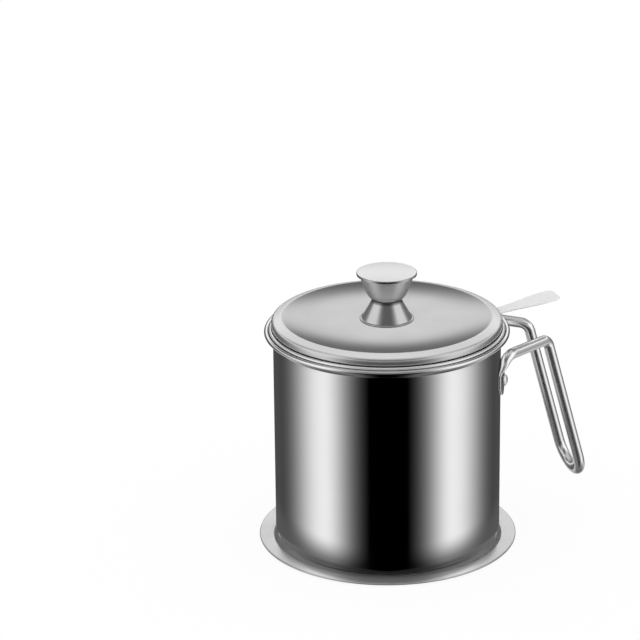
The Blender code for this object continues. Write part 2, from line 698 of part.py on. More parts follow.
def rivet_cutters(parent):
    """Make the two radial drills that open the ears and the pot's wall."""
    drills = []
    reach = EAR_THICKNESS + POT_SHEET + CUT_OVERRUN * 2
    for name, side in (("rivet_drill_right", 1), ("rivet_drill_left", -1)):
        drill = round_cutter(name, RIVET_HOLE_RADIUS, reach, parent)
        drill.matrix_local = radial_matrix(side, POT_RADIUS, RIVET_Z)
        drills.append(drill)
    return drills


def build():
    """Make every piece on the axis of the body that carries it."""
    polished = steel("polished_steel", 0.72, 0.08)
    satin = steel("satin_steel", 0.68, 0.25)
    wire = steel("wire_steel", 0.74, 0.12)
    cloth = steel("cloth_steel", 0.6, 0.35)
    pressed = steel("pressed_steel", 0.7, 0.18)
    fastener = steel("fastener_steel", 0.55, 0.3)
    drip_tray(pressed)

    pot_axis = lift_axis("pot_lift_axis", POT_BASE_Z)
    drills = rivet_cutters(pot_axis)
    can = pot_body(polished, pot_axis)
    for drill in drills:
        cut(can, drill)
    handle_wire(wire, pot_axis, drills)
    handle_rivet("handle_rivet_right", 1, fastener, pot_axis)
    handle_rivet("handle_rivet_left", -1, fastener, pot_axis)

    strainer_axis = lift_axis("strainer_lift_axis", STRAINER_SEAT_Z, pot_axis)
    strainer_ring(pressed, strainer_axis)
    strainer_cloth(cloth, strainer_axis)
    cloth_clamp(pressed, strainer_axis)
    strainer_strap(satin, strainer_axis)

    lid_axis = lift_axis("lid_lift_axis", LID_SEAT_Z, strainer_axis)
    lid_shell(polished, lid_axis)
    knob_stem(polished, lid_axis)
    knob_bowl(satin, lid_axis)
    knob_cap(satin, lid_axis)
    knob_nut(fastener, lid_axis)
    knob_screw(fastener, lid_axis)
    screw_washer(fastener, lid_axis)


build()
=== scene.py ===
"""Looks of the steel fat pot: turned sheet metal, a bent wire handle and a woven strainer.

Metres, in the frame of the CAD model: +Z up, the origin under the centre of the
drip tray and +X towards the handle. Each polished piece is a smooth surface
worked out from the same sizes as its CAD node, which it stands for. The camera
and the floor see plain white, and reflections see a grey studio.
"""
import math

import bmesh
import bpy
import numpy as np
from mathutils import Matrix, Vector


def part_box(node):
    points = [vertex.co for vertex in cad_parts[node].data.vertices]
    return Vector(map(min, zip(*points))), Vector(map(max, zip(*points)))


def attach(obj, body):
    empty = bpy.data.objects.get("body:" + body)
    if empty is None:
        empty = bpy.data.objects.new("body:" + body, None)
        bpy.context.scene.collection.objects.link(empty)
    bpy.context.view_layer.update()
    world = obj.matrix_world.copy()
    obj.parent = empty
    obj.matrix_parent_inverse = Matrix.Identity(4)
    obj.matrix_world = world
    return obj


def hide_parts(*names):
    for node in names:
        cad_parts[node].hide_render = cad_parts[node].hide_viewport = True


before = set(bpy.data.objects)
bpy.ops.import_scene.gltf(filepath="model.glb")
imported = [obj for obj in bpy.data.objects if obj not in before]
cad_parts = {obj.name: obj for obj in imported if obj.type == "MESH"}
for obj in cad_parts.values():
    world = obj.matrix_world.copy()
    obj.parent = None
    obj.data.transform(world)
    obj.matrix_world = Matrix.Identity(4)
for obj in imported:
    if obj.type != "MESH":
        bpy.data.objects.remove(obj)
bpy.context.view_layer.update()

# Fineness of the surfaces
LARGE_SEGMENTS = 180
KNOB_SEGMENTS = 96
SMALL_SEGMENTS = 40
ARC_POINTS = 14
SUPPORT_SHARES = (0.02, 0.08, 0.25, 0.75, 0.92, 0.98)
MERGE_DISTANCE = 1e-7
EDGE_ANGLES = (60, 30, 0, -30, -60)
TANGENT_REACH = 0.00001

# Drip tray
TRAY_SHEET = 0.0006
TRAY_FLANGE_WIDTH = 0.0073
TRAY_STEP_WIDTH = 0.0034
TRAY_EDGE_RADIUS = 0.0006

# Pot
POT_RADIUS = 0.0625
POT_SHEET = 0.0006
POT_CORNER_RADIUS = 0.008
POT_CURL_RADIUS = 0.0013
POT_FLARE_HEIGHT = 0.0045
CURL_END_ANGLE = -75

# Strainer
STRAINER_SHEET = 0.0005
STRAINER_CURL_RADIUS = 0.0011
STRAINER_LEDGE_DROP = 0.0005
STRAINER_BEND_RADIUS = 0.00065
STRAINER_WALL_CLEARANCE = 0.0006
STRAINER_TAPER = 0.0015
STRAINER_FLANGE_WIDTH = 0.0045
CLOTH_PITCH = 0.0016
CLOTH_WIRE = 0.0005
CLOTH_SAG = 0.005
CLOTH_STEPS = 2
CLAMP_SHEET = 0.0005
CLAMP_WIDTH = 0.0042

# Strap
STRAP_THICKNESS = 0.0009
STRAP_LENGTH = 0.0363
STRAP_ROOT_WIDTH = 0.0084
STRAP_TIP_WIDTH = 0.0148
STRAP_TIP_CORNER = 0.0035
STRAP_EDGE_ROUND = 0.00025
STRAP_EDGE_ANGLES = (90, 60, 30, 0)
STRAP_RISE_ANGLE = 8.5
STRAP_NECK_SHARE = 0.08
STRAP_FULL_SHARE = 0.78

# Lid
LID_SHEET = 0.0006
LID_EDGE_HEIGHT = 0.00495
LID_RING_WIDTH = 0.0054
LID_RING_SLOPE_ANGLE = 16.5
LID_SHOULDER_RADIUS = 0.0022
LID_DISH_DEPTH = 0.0019
LID_DISH_POWER = 3
LID_SEAT_RADIUS = 0.0165
LID_HEM_WIDTH = 0.0019
LID_HEM_RADIUS = 0.0009
LID_STEP = 0.0004
LID_SOFTENING = 0.001

# Knob
KNOB_SHEET = 0.0006
STEM_FOOT_WIDTH = 0.001
STEM_FOOT_RISE = 0.0003
STEM_WAIST_RADIUS = 0.008
# Shares of the bowl's radius and height, from its rim to its foot
BOWL_PROFILE_SHARES = (
    (1.0, 1.0), (0.94, 0.77), (0.85, 0.49), (0.75, 0.24), (0.66, 0.08), (0.54, 0.0))
CAP_SHEET = 0.0006
CAP_CROWN = 0.0009
CAP_LIP_HEIGHT = 0.0012
CAP_EDGE_RADIUS = 0.00035
CAP_EDGE_START_ANGLE = 80
CAP_SMOOTH_ANGLE = 40
CAP_SPIGOT_DEPTH = 0.0022
HOLE_RADIUS = 0.0023
FASTENER_SMOOTH_ANGLE = 35

# Wire handle and rivets
WIRE_RADIUS = 0.003
WIRE_SIDES = 32
EAR_AZIMUTH = 32
EAR_WIDTH = 0.0136
EAR_THICKNESS = 0.002
EAR_LENGTH = 0.0142
EAR_CORNER_POWER = 0.62
EAR_STATIONS = 16
EAR_FIRST_ANGLE = 0.04
RIVET_TO_EAR_END = 0.0085
HANDLE_BELOW_RIM = 0.0117
ELBOW_STANDOFF = 0.0044
ELBOW_ABOVE_EAR = 0.0087
NECK_BEND_RADIUS = 0.007
ELBOW_BEND_RADIUS = 0.0055
GRIP_STANDOFF = 0.0275
GRIP_TOP_FALL = 0.0029
GRIP_BEND_RADIUS = 0.006
GRIP_SPACING = 0.0268
GRIP_LENGTH = 0.0756
GRIP_LEAN_ANGLE = 15.4
HANDLE_STEP = 0.0008
RIVET_RADIUS = 0.002
RIVET_HEAD_RADIUS = 0.0034
RIVET_HEAD_HEIGHT = 0.0021
RIVET_TAIL_RADIUS = 0.0031
RIVET_TAIL_HEIGHT = 0.0011
GAP = 0.0003
EAR_FLAT_MARGIN = GAP * 5

# Finishes: greys and roughness at the two ends of the polishing marks, share of metal, and the
# width under which a groove gets painted shade. The stem's greys carry the painted shade of its
# waist.
CREVICE_SHADE_REACH = 0.002
NARROW_CREVICE_SHADE_REACH = 0.0008
BOWL_SHADE_REACH = 0.004
# Painted shade: share of the stem's grey kept at its waist under the bowl
WAIST_SHADE = 0.3
FINISHES = {
    "mirror_polish": dict(
        dark=0.86, light=0.9, smooth=0.05, rough=0.09, hollow=NARROW_CREVICE_SHADE_REACH),
    "pressed_lid": dict(dark=0.61, light=0.65, smooth=0.12, rough=0.17),
    "bright_rim": dict(dark=0.88, light=0.94, smooth=0.1, rough=0.16, metal=0.75),
    "turned_stem": dict(
        dark=0.58 * WAIST_SHADE, light=0.64 * WAIST_SHADE, smooth=0.14, rough=0.2, metal=0.92),
    "pressed_tray": dict(
        dark=0.92, light=0.97, smooth=0.16, rough=0.24, metal=0.82, hollow=NARROW_CREVICE_SHADE_REACH),
    "satin_cap": dict(dark=0.95, light=1.0, smooth=0.25, rough=0.35, metal=0.32),
    "satin_bowl": dict(
        dark=0.9, light=0.94, smooth=0.22, rough=0.3, metal=0.84, hollow=BOWL_SHADE_REACH),
    "satin_strap": dict(dark=0.96, light=1.0, smooth=0.25, rough=0.35, metal=0.28),
    "drawn_wire": dict(dark=0.97, light=1.0, smooth=0.14, rough=0.2, metal=0.93),
    "woven_wire": dict(dark=0.62, light=0.72, smooth=0.25, rough=0.35),
    "plain_fastener": dict(dark=0.6, light=0.72, smooth=0.22, rough=0.34),
}

# Zones of a finish: what they do to grey, roughness and metal outside a radius
# Painted shade along the drip tray's turned-down edge
TRAY_EDGE_INSET = 0.0004
TRAY_EDGE_SHADE = 0.7
TRAY_EDGE_METAL = 0.1
# Lid: painted shade towards the dish's edge; the ring is a duller satin with less metal and a
# painted highlight, which the polished skirt drops
LID_SHADE = 0.95
LID_SHADE_INSET = 0.009
LID_SHADE_WIDTH = 0.016
LID_RING_INSET = 0.0005
LID_RING_SOFTNESS = 0.0012
LID_RING_HIGHLIGHT = 1.4
LID_RING_ROUGH = 0.12
LID_RING_METAL = -0.7
LID_SKIRT_SHARE = 0.45
LID_SKIRT_ROUGH = -0.08
LID_SKIRT_METAL = 0.55
# Painted shade on the cap's lip, which is also smoother and more metallic
CAP_LIP_SHADE = 0.5
CAP_LIP_ROUGH = -0.1
CAP_LIP_METAL = 0.65

# Polishing marks
TURNED_LINES_SCALE = (6.0, 5200.0, 1.0)
GRAIN_SCALE = (900.0, 900.0, 900.0)
SHEEN_SCALE = 40.0
LINE_DETAIL = 3.0
SHEEN_DETAIL = 2.0
LINE_SPREAD = (0.3, 0.7)
LINE_CONTRAST = 0.4
MARKS_SPREAD = (0.2, 1.2)
LINE_RELIEF = 0.02
LINE_DEPTH = 0.00005
# Painted shade in grooves: spread of the ambient occlusion that darkens the base grey, its darkest
# grey, and samples
CREVICE_SHADE_SPREAD = (0.15, 0.75)
CREVICE_SHADE_GREY = 0.04
CREVICE_SHADE_SAMPLES = 8

# Camera
CAMERA_PLACE = (-0.5661, -1.4882, 0.71955)
CAMERA_PAN = 19.51
CAMERA_TILT = 20.392
CAMERA_ROLL = -0.657
CAMERA_LENS = 174.57
CAMERA_SENSOR = 36
CAMERA_NEAR = 0.01

# Studio in reflections. A START or END is a share of the half turn away from the camera's side,
# and a RISE, TOP or FOOT is an elevation in degrees. Each is a pair, over which a light comes in
# or fades. A PLACE is a bell's centre and its widths below and above.
STUDIO_TURN = 1.3
POLE_MARGIN = 0.0001
PANEL_PLACE = (0.383, 0.135, 0.188)
PANEL_CUT = 0.015
PANEL_LEVEL = 0.95
PANEL_TOP = (30.0, 75.0)
PANEL_FOOT = (-62.0, -30.0)
FOOT_SHARE = 0.2
BACKING_START = (0.4, 0.85)
BACKING_LEVEL = 0.07
FAR_START = (0.5, 0.7)
FAR_TOP = (-29.0, -25.0)
FAR_LEVEL = 0.42
BAND_PLACE = (20.5, 4.3, 5.7)
BAND_START = (0.05, 0.42)
BAND_LOW = 0.04
AMBIENT_RISE = (-8.0, 4.0)
AMBIENT_LEVEL = 0.1
OVERHEAD_RISE = (46.0, 72.0)
OVERHEAD_LEVEL = 0.38
FACING_END = (0.25, 0.6)
FACING_RISE = (-5.0, 2.0)
FACING_TOP = (20.0, 32.0)
FACING_LEVEL = 0.2

# Floor
WHITE = (1, 1, 1, 1)
FLOOR_RADIUS = 3.0
FLOOR_SEGMENTS = 64
FLOOR_LIFT = 0.92
FLOOR_DIMMING = 0.88
FLOOR_DIM_RADII = (0.0755, 0.107)
FLOOR_GLOW = 0.09
FLOOR_GLOW_FRONT = (0.8, 0.99)


def lowest(node):
    """Height of the lowest point of a CAD node."""
    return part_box(node)[0].z


def highest(node):
    """Height of the highest point of a CAD node."""
    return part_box(node)[1].z


def reach(node):
    """Radius of a round CAD node about the common axis."""
    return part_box(node)[1].x


def signed_power(values, power):
    """Values raised to a power, each with its sign kept."""
    return np.sign(values) * np.abs(values) ** power


def moved(points, matrix):
    """Points turned and shifted by a 4 by 4 matrix."""
    grid = np.array(matrix)
    return points @ grid[:3, :3].T + grid[:3, 3]


def smoothstep(share):
    """Ease from 0 to 1 with level ends: 3 s squared less 2 s cubed."""
    return share * share * (3 - 2 * share)


def unit(vectors):
    """Scale vectors to length 1 along the last axis."""
    return vectors / np.linalg.norm(vectors, axis=-1, keepdims=True)


def arc(centre_r, centre_z, radius, start, end, count=ARC_POINTS):
    """Points on a circle between two angles in degrees: centre plus radius times (cos, sin)."""
    angle = np.radians(np.linspace(start, end, count))
    return np.stack([centre_r + radius * np.cos(angle), centre_z + radius * np.sin(angle)], axis=1)


def joined(*pieces):
    """Chain curved pieces; each straight leg between two gets support points close to both ends.

    The points beside a leg's ends keep the shading of the bend off the straight.
    """
    chain = [pieces[0]]
    for piece in pieces[1:]:
        start = chain[-1][-1]
        shares = np.array(SUPPORT_SHARES)[:, None]
        chain.append(start + (piece[0] - start) * shares)
        chain.append(piece)
    return np.concatenate(chain)


def fillet(corners, radii, count=ARC_POINTS):
    """Round each inner corner of a polyline with an arc of its radius, in two or three dimensions.

    The arc's centre lies radius / sin(half the corner's angle) along the bisector, and its
    points blend the two radii at its ends by sines, as a great circle does.
    """
    corners = np.asarray(corners, float)
    pieces = [corners[:1]]
    for before, corner, after, radius in zip(corners, corners[1:], corners[2:], radii):
        back = unit(before - corner)
        ahead = unit(after - corner)
        half = math.acos(float(np.clip(back @ ahead, -1, 1))) / 2
        centre = corner + unit(back + ahead) * radius / math.sin(half)
        first = unit(corner + back * radius / math.tan(half) - centre)
        last = unit(corner + ahead * radius / math.tan(half) - centre)
        sweep = math.pi - 2 * half
        share = np.linspace(0, 1, count)[:, None]
        blend = np.sin((1 - share) * sweep) * first + np.sin(share * sweep) * last
        pieces.append(centre + radius * blend / math.sin(sweep))
    pieces.append(corners[-1:])
    return joined(*pieces)


def lengths_along(path):
    """Distance of each point of a polyline from its start."""
    return np.concatenate([[0], np.cumsum(np.linalg.norm(np.diff(path, axis=0), axis=1))])


def read_at(path, distances):
    """Points of a polyline at distances along it."""
    along = lengths_along(path)
    return np.stack([np.interp(distances, along, axis) for axis in path.T], axis=1)


def even(path, step):
    """The polyline again with points about one step apart."""
    total = lengths_along(path)[-1]
    return read_at(path, np.linspace(0, total, max(2, round(total / step) + 1)))


def softened(path, step, width):
    """An evenly spaced polyline whose corners are rounded by a running mean over a width.

    The weights are a raised cosine; the ends are held by reflecting the path in them.
    """
    path = even(path, step)
    half = max(1, round(width / step))
    weights = 1 + np.cos(np.linspace(-math.pi, math.pi, 2 * half + 3)[1:-1])
    weights /= weights.sum()
    before = 2 * path[0] - path[half:0:-1]
    after = 2 * path[-1] - path[-2:-half - 2:-1]
    padded = np.concatenate([before, path, after])
    return np.stack([np.convolve(axis, weights, "valid") for axis in padded.T], axis=1)


def smooth_through(points, count):
    """A curve through a few points, in cubic steps.

    The slope at a point is half the chord between its neighbours.
    """
    points = np.asarray(points, float)
    slopes = np.gradient(points, axis=0)
    place = np.linspace(0, len(points) - 1, count)
    left = np.minimum(place.astype(int), len(points) - 2)
    share = (place - left)[:, None]
    rise = smoothstep(share)
    bow_out = share * (1 - share) ** 2
    bow_in = share ** 2 * (share - 1)
    chord = points[left + 1] - points[left]
    return points[left] + chord * rise + slopes[left] * bow_out + slopes[left + 1] * bow_in


def sheet_section(path, thickness):
    """Wall round a middle line: half the thickness along its normals to each side, round ends.

    The normal is the tangent turned by 90 degrees. An end on the axis stays open, because the
    surface closes there in a pole.
    """
    half = thickness / 2
    tangent = unit(np.gradient(path, axis=0))
    normal = np.stack([-tangent[:, 1], tangent[:, 0]], axis=1)
    angle = np.radians(EDGE_ANGLES)[:, None]
    left = path + normal * half
    right = (path - normal * half)[::-1]
    end = path[-1] + half * (normal[-1] * np.sin(angle) + tangent[-1] * np.cos(angle))
    start = path[0] - half * (normal[0] * np.sin(angle) + tangent[0] * np.cos(angle))
    parts = [left]
    if path[-1, 0] > 0:
        parts.append(end)
    parts.append(right)
    if path[0, 0] > 0:
        parts.append(start)
    return np.concatenate(parts)


def quads(rows, columns, wrap_rows, wrap_columns):
    """Corner numbers of the quads of a grid of points, row by row."""
    row = np.arange(rows if wrap_rows else rows - 1)[:, None]
    column = np.arange(columns if wrap_columns else columns - 1)[None, :]
    next_row = (row + 1) % rows
    next_column = (column + 1) % columns
    corners = [row * columns + column, next_row * columns + column]
    corners += [next_row * columns + next_column, row * columns + next_column]
    return np.stack(np.broadcast_arrays(*corners), axis=-1).reshape(-1, 4)


def corner_uvs(across, along, wrap_rows):
    """Places of the quads' corners on the unrolled sheet: share of the turn, metres along."""
    turn = np.linspace(0, 1, across + 1)
    rows = len(along) - 1
    if wrap_rows:
        rows = len(along)
        along = np.append(along, along[-1] * 2 - along[-2])
    u = np.stack([turn[:-1], turn[:-1], turn[1:], turn[1:]], axis=1)[None].repeat(rows, axis=0)
    v = np.stack([along[:rows], along[1:rows + 1], along[1:rows + 1], along[:rows]], axis=1)
    v = v[:, None].repeat(across, axis=1)
    return np.stack([u, v], axis=-1).reshape(-1, 2)


def linked(name, data):
    """Make an object at the origin and link it to the scene."""
    item = bpy.data.objects.new(name, data)
    bpy.context.scene.collection.objects.link(item)
    return item


def add_piece(name, points, faces, finish, body, node, uvs=None):
    """Make a smooth mesh, merge its poles, turn its faces outwards, hang it under its body and hide
    the CAD node.
    """
    mesh = bpy.data.meshes.new(name)
    mesh.from_pydata(points.tolist(), [], faces)
    if uvs is not None:
        layer = mesh.uv_layers.new(name="sheet")
        layer.data.foreach_set("uv", uvs.ravel())
    work = bmesh.new()
    work.from_mesh(mesh)
    bmesh.ops.remove_doubles(work, verts=work.verts, dist=MERGE_DISTANCE)
    bmesh.ops.recalc_face_normals(work, faces=work.faces)
    work.to_mesh(mesh)
    work.free()
    mesh.shade_smooth()
    mesh.materials.append(finish)
    item = linked(name, mesh)
    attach(item, body)
    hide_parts(node)
    return item


def turned(name, section, segments, finish, body, node, matrix=None):
    """Turn a section about the vertical axis: (r cos a, r sin a, z) for a full circle of angles."""
    angle = np.linspace(0, 2 * math.pi, segments, endpoint=False)
    r = section[:, 0, None]
    z = np.broadcast_to(section[:, 1, None], (len(section), segments))
    points = np.stack([r * np.cos(angle), r * np.sin(angle), z], axis=-1).reshape(-1, 3)
    if matrix is not None:
        points = moved(points, matrix)
    closed = section[0, 0] > 0
    faces = quads(len(section), segments, closed, True)
    uvs = corner_uvs(segments, lengths_along(section), closed)
    return add_piece(name, points, faces.tolist(), finish, body, node, uvs)


def curl(centre_r, centre_z, radius, sheet):
    """Middle line of a rolled rim, from its hidden end over the outside to the inner side."""
    return arc(centre_r, centre_z, radius - sheet / 2, CURL_END_ANGLE, 180, 2 * ARC_POINTS)


def tray_section():
    """Turned-down edge, flat flange, soft step down and flat floor, from the edge to the axis."""
    half = TRAY_SHEET / 2
    edge = TRAY_EDGE_RADIUS - half
    radius = reach("drip_tray")
    flange_z = highest("drip_tray") - half
    floor_z = lowest("drip_tray") + half
    share = np.linspace(0, 1, 2 * ARC_POINTS)
    step_r = radius - TRAY_FLANGE_WIDTH - TRAY_STEP_WIDTH * share
    step = np.stack([step_r, flange_z + (floor_z - flange_z) * smoothstep(share)], axis=1)
    rim = arc(radius - half - edge, flange_z - edge, edge, 0, 90)
    return sheet_section(joined(rim, step, np.array([[0, floor_z]])), TRAY_SHEET)


def pot_section():
    """Rolled rim, flare by smoothstep, straight wall, round corner and flat floor."""
    half = POT_SHEET / 2
    wall_r = POT_RADIUS - half
    base_z = lowest("pot_body")
    curl_z = highest("pot_body") - POT_CURL_RADIUS
    curl_r = reach("pot_body") - POT_CURL_RADIUS
    throat_r = curl_r - POT_CURL_RADIUS + half
    share = np.linspace(1, 0, 2 * ARC_POINTS)[1:]
    flare_r = wall_r + smoothstep(share) * (throat_r - wall_r)
    flare = np.stack([flare_r, curl_z - POT_FLARE_HEIGHT * (1 - share)], axis=1)
    corner = POT_CORNER_RADIUS
    bend = arc(POT_RADIUS - corner, base_z + corner, corner - half, 0, -90, 2 * ARC_POINTS)
    top = np.concatenate([curl(curl_r, curl_z, POT_CURL_RADIUS, POT_SHEET), flare])
    return sheet_section(joined(top, bend, np.array([[0, base_z + half]])), POT_SHEET)


def strainer_section():
    """Rolled rim, ledge for the lid, tapered wall and inward flange."""
    half = STRAINER_SHEET / 2
    bend = STRAINER_BEND_RADIUS - half
    seat_z = highest("strainer_ring") - STRAINER_CURL_RADIUS
    curl_r = reach("strainer_ring") - STRAINER_CURL_RADIUS
    inner_r = curl_r - STRAINER_CURL_RADIUS + half
    ledge_z = seat_z - STRAINER_LEDGE_DROP - half
    floor_z = lowest("strainer_ring") + half
    wall_r = POT_RADIUS - POT_SHEET - STRAINER_WALL_CLEARANCE - half
    floor_r = wall_r - STRAINER_TAPER
    rim = curl(curl_r, seat_z, STRAINER_CURL_RADIUS, STRAINER_SHEET)
    corners = [(inner_r, seat_z), (inner_r, ledge_z), (wall_r, ledge_z), (floor_r, floor_z)]
    corners.append((floor_r - STRAINER_FLANGE_WIDTH, floor_z))
    return sheet_section(joined(rim[:-1], fillet(corners, (bend, bend, bend))), STRAINER_SHEET)


def clamp_section():
    """Angle with a lip: up the outer side, over the lip, down inside and out along the shelf."""
    half = CLAMP_SHEET / 2
    radius = reach("cloth_clamp_ring")
    corners = [(radius - CLAMP_WIDTH, lowest("cloth_clamp_ring") + half)]
    corners += [(radius - half, lowest("cloth_clamp_ring") + half)]
    corners += [(radius - half, highest("cloth_clamp_ring") - half)]
    return sheet_section(fillet(corners, (CLAMP_SHEET,)), CLAMP_SHEET)


def lid_section():
    """Flat seat, dish that rises by a power of the radius, sloping ring, skirt and hem."""
    half = LID_SHEET / 2
    base_z = lowest("lid_shell")
    radius = reach("lid_shell")
    slope = math.radians(LID_RING_SLOPE_ANGLE)
    shoulder_r = radius - LID_SHOULDER_RADIUS
    shoulder_z = base_z + LID_EDGE_HEIGHT - LID_SHOULDER_RADIUS
    crest_r = radius - LID_RING_WIDTH
    run = shoulder_r + LID_SHOULDER_RADIUS * math.sin(slope) - crest_r
    crest_z = shoulder_z + LID_SHOULDER_RADIUS * math.cos(slope) + run * math.tan(slope) - half
    centre_z = crest_z - LID_DISH_DEPTH
    skirt_r = radius - half
    share = np.linspace(0, 1, 3 * ARC_POINTS)
    dish_r = LID_SEAT_RADIUS + (crest_r - LID_SEAT_RADIUS) * share
    dish = np.stack([dish_r, centre_z + (crest_z - centre_z) * share ** LID_DISH_POWER], axis=1)
    bend = arc(shoulder_r, shoulder_z, LID_SHOULDER_RADIUS - half, 90 - LID_RING_SLOPE_ANGLE, 0)
    hem = LID_HEM_RADIUS - half
    turn_in = arc(skirt_r - hem, base_z + half + hem, hem, 0, -90)
    hole = np.array([[HOLE_RADIUS, centre_z]])
    tail = np.array([[radius - LID_HEM_WIDTH, base_z + half]])
    path = np.concatenate([hole, dish, bend, turn_in, tail])
    return sheet_section(softened(path, LID_STEP, LID_SOFTENING), LID_SHEET)


def stem_section():
    """Flat top, rounded shoulder, straight cone and a small flared foot."""
    half = KNOB_SHEET / 2
    foot_r = reach("knob_stem")
    foot_z = lowest("knob_stem")
    top_z = highest("knob_stem") - half
    cone_r = foot_r - STEM_FOOT_WIDTH - half
    corners = [(HOLE_RADIUS, top_z), (STEM_WAIST_RADIUS - half, top_z)]
    corners += [(cone_r, foot_z + half + STEM_FOOT_RISE / 2), (foot_r - half, foot_z + half)]
    return sheet_section(fillet(corners, (KNOB_SHEET, STEM_FOOT_RISE)), KNOB_SHEET)


def bowl_section():
    """Smooth flare through the profile's points, then flat to the screw's hole."""
    half = KNOB_SHEET / 2
    shares = np.array(BOWL_PROFILE_SHARES)
    rim_r = reach("knob_bowl")
    base_z = lowest("knob_bowl")
    height = highest("knob_bowl") - base_z
    wall_r = rim_r * shares[:, 0] - half
    wall_z = base_z + half + (height - half) * shares[:, 1]
    flare = smooth_through(np.stack([wall_r, wall_z], axis=1), 5 * ARC_POINTS)
    return sheet_section(joined(flare, np.array([[HOLE_RADIUS, base_z + half]])), KNOB_SHEET)


def cap_section():
    """Crown by a parabola, rounded edge, short lip, flat underside and a spigot."""
    radius = reach("knob_cap")
    base_z = lowest("knob_cap") + CAP_SPIGOT_DEPTH
    rim_z = base_z + CAP_SHEET
    spigot_r = reach("knob_bowl") - KNOB_SHEET * 2 - GAP
    share = np.linspace(0, 1, 3 * ARC_POINTS)[:-1]
    crown_r = share * (radius - CAP_EDGE_RADIUS)
    crown = np.stack([crown_r, rim_z + CAP_CROWN * (1 - (crown_r / radius) ** 2)], axis=1)
    edge_r = CAP_EDGE_RADIUS
    edge = arc(radius - edge_r, rim_z - edge_r, edge_r, CAP_EDGE_START_ANGLE, 0)
    lip_z = rim_z - CAP_LIP_HEIGHT
    tip_z = base_z - CAP_SPIGOT_DEPTH
    inside = radius - CAP_SHEET
    spigot_in = spigot_r - CAP_SHEET
    corners = [(radius, lip_z), (inside, lip_z), (inside, base_z), (spigot_r, base_z)]
    corners += [(spigot_r, tip_z), (spigot_in, tip_z), (spigot_in, base_z), (0, base_z)]
    return np.concatenate([crown, edge, np.array(corners)])


def handle_path():
    """Middle line of the bent wire, from one ear's end to the other's, with rounded bends."""
    azimuth = math.radians(EAR_AZIMUTH)
    lean = math.radians(GRIP_LEAN_ANGLE)
    top_z = highest("pot_body") - HANDLE_BELOW_RIM
    ear_r = POT_RADIUS + GAP + EAR_THICKNESS / 2
    elbow_r = POT_RADIUS + ELBOW_STANDOFF
    ear_top = top_z - ELBOW_ABOVE_EAR
    outward = np.array([math.cos(azimuth), math.sin(azimuth), 0])
    down = np.array([math.sin(lean), 0, -math.cos(lean)])
    side = GRIP_SPACING / 2
    bend = np.array([POT_RADIUS + GRIP_STANDOFF, side, top_z - GRIP_TOP_FALL])
    half = [outward * ear_r + (0, 0, ear_top - EAR_LENGTH), outward * ear_r + (0, 0, ear_top)]
    half += [outward * elbow_r + (0, 0, top_z), bend, bend + down * (GRIP_LENGTH + side)]
    half = np.array(half)
    corners = np.concatenate([half, half[::-1] * (1, -1, 1)])
    radii = [NECK_BEND_RADIUS, ELBOW_BEND_RADIUS, GRIP_BEND_RADIUS, side]
    return fillet(corners, radii + radii[::-1], 2 * ARC_POINTS)


def handle_stations(total):
    """Distances along the wire: crowded by a cosine at the ears' round ends, even elsewhere."""
    radius = EAR_WIDTH / 2
    tip = radius * (1 - np.cos(np.linspace(EAR_FIRST_ANGLE, math.pi / 2, EAR_STATIONS)))
    middle = np.arange(radius, total - radius, HANDLE_STEP)[1:]
    return np.concatenate([tip, middle, total - tip[::-1]])


def roundness(from_end):
    """Share of the way from the flat ear to the round wire, at a distance from the ear's end."""
    flat = RIVET_TO_EAR_END + RIVET_RADIUS + EAR_FLAT_MARGIN
    neck = EAR_LENGTH + ELBOW_ABOVE_EAR - flat
    return smoothstep(np.clip((from_end - flat) / neck, 0, 1))


def handle_axes(tangent, first_half, share):
    """Two directions across the wire: out from the pot, and along the ear's width.

    The first eases from the ear's outward direction to the grip's, less its part along the
    wire. The second is at right angles to it and to the wire.
    """
    azimuth = math.radians(EAR_AZIMUTH)
    lean = math.radians(GRIP_LEAN_ANGLE)
    ear_out = np.array([math.cos(azimuth), math.sin(azimuth), 0])
    outward = np.where(first_half, ear_out, ear_out * (1, -1, 1))
    grip_out = np.array([math.cos(lean), 0, math.sin(lean)])
    reference = outward + (grip_out - outward) * share
    out_axis = unit(reference - tangent * (reference * tangent).sum(axis=1, keepdims=True))
    return out_axis, np.cross(tangent, out_axis)


def handle_mesh():
    """Superellipse sections along the wire: flat and wide at the ears, round elsewhere.

    At a distance d from an ear's end the half width is sqrt(R2 - (R - d)2) on the round end,
    R on the flat, and eases to the wire's radius over the neck. A section's points are
    (w |cos a| ** p, t |sin a| ** p) with p easing from the ear's power to 1.
    """
    dense = handle_path()
    total = lengths_along(dense)[-1]
    stations = handle_stations(total)
    centre = read_at(dense, stations)
    ahead = read_at(dense, stations + TANGENT_REACH)
    tangent = unit(ahead - read_at(dense, stations - TANGENT_REACH))
    from_end = np.minimum(stations, total - stations)[:, None]
    share = roundness(from_end)
    radius = EAR_WIDTH / 2
    tip = np.sqrt(np.maximum(radius ** 2 - np.maximum(radius - from_end, 0) ** 2, 0))
    wide = tip + (WIRE_RADIUS - tip) * share
    thick = EAR_THICKNESS / 2 + (WIRE_RADIUS - EAR_THICKNESS / 2) * share
    power = EAR_CORNER_POWER + (1 - EAR_CORNER_POWER) * share
    angle = np.linspace(0, 2 * math.pi, WIRE_SIDES, endpoint=False)
    x = signed_power(np.cos(angle), power) * wide
    y = signed_power(np.sin(angle), power) * thick
    out_axis, wide_axis = handle_axes(tangent, (stations < total / 2)[:, None], share)
    points = centre[:, None] + x[..., None] * wide_axis[:, None] + y[..., None] * out_axis[:, None]
    return points.reshape(-1, 3), stations


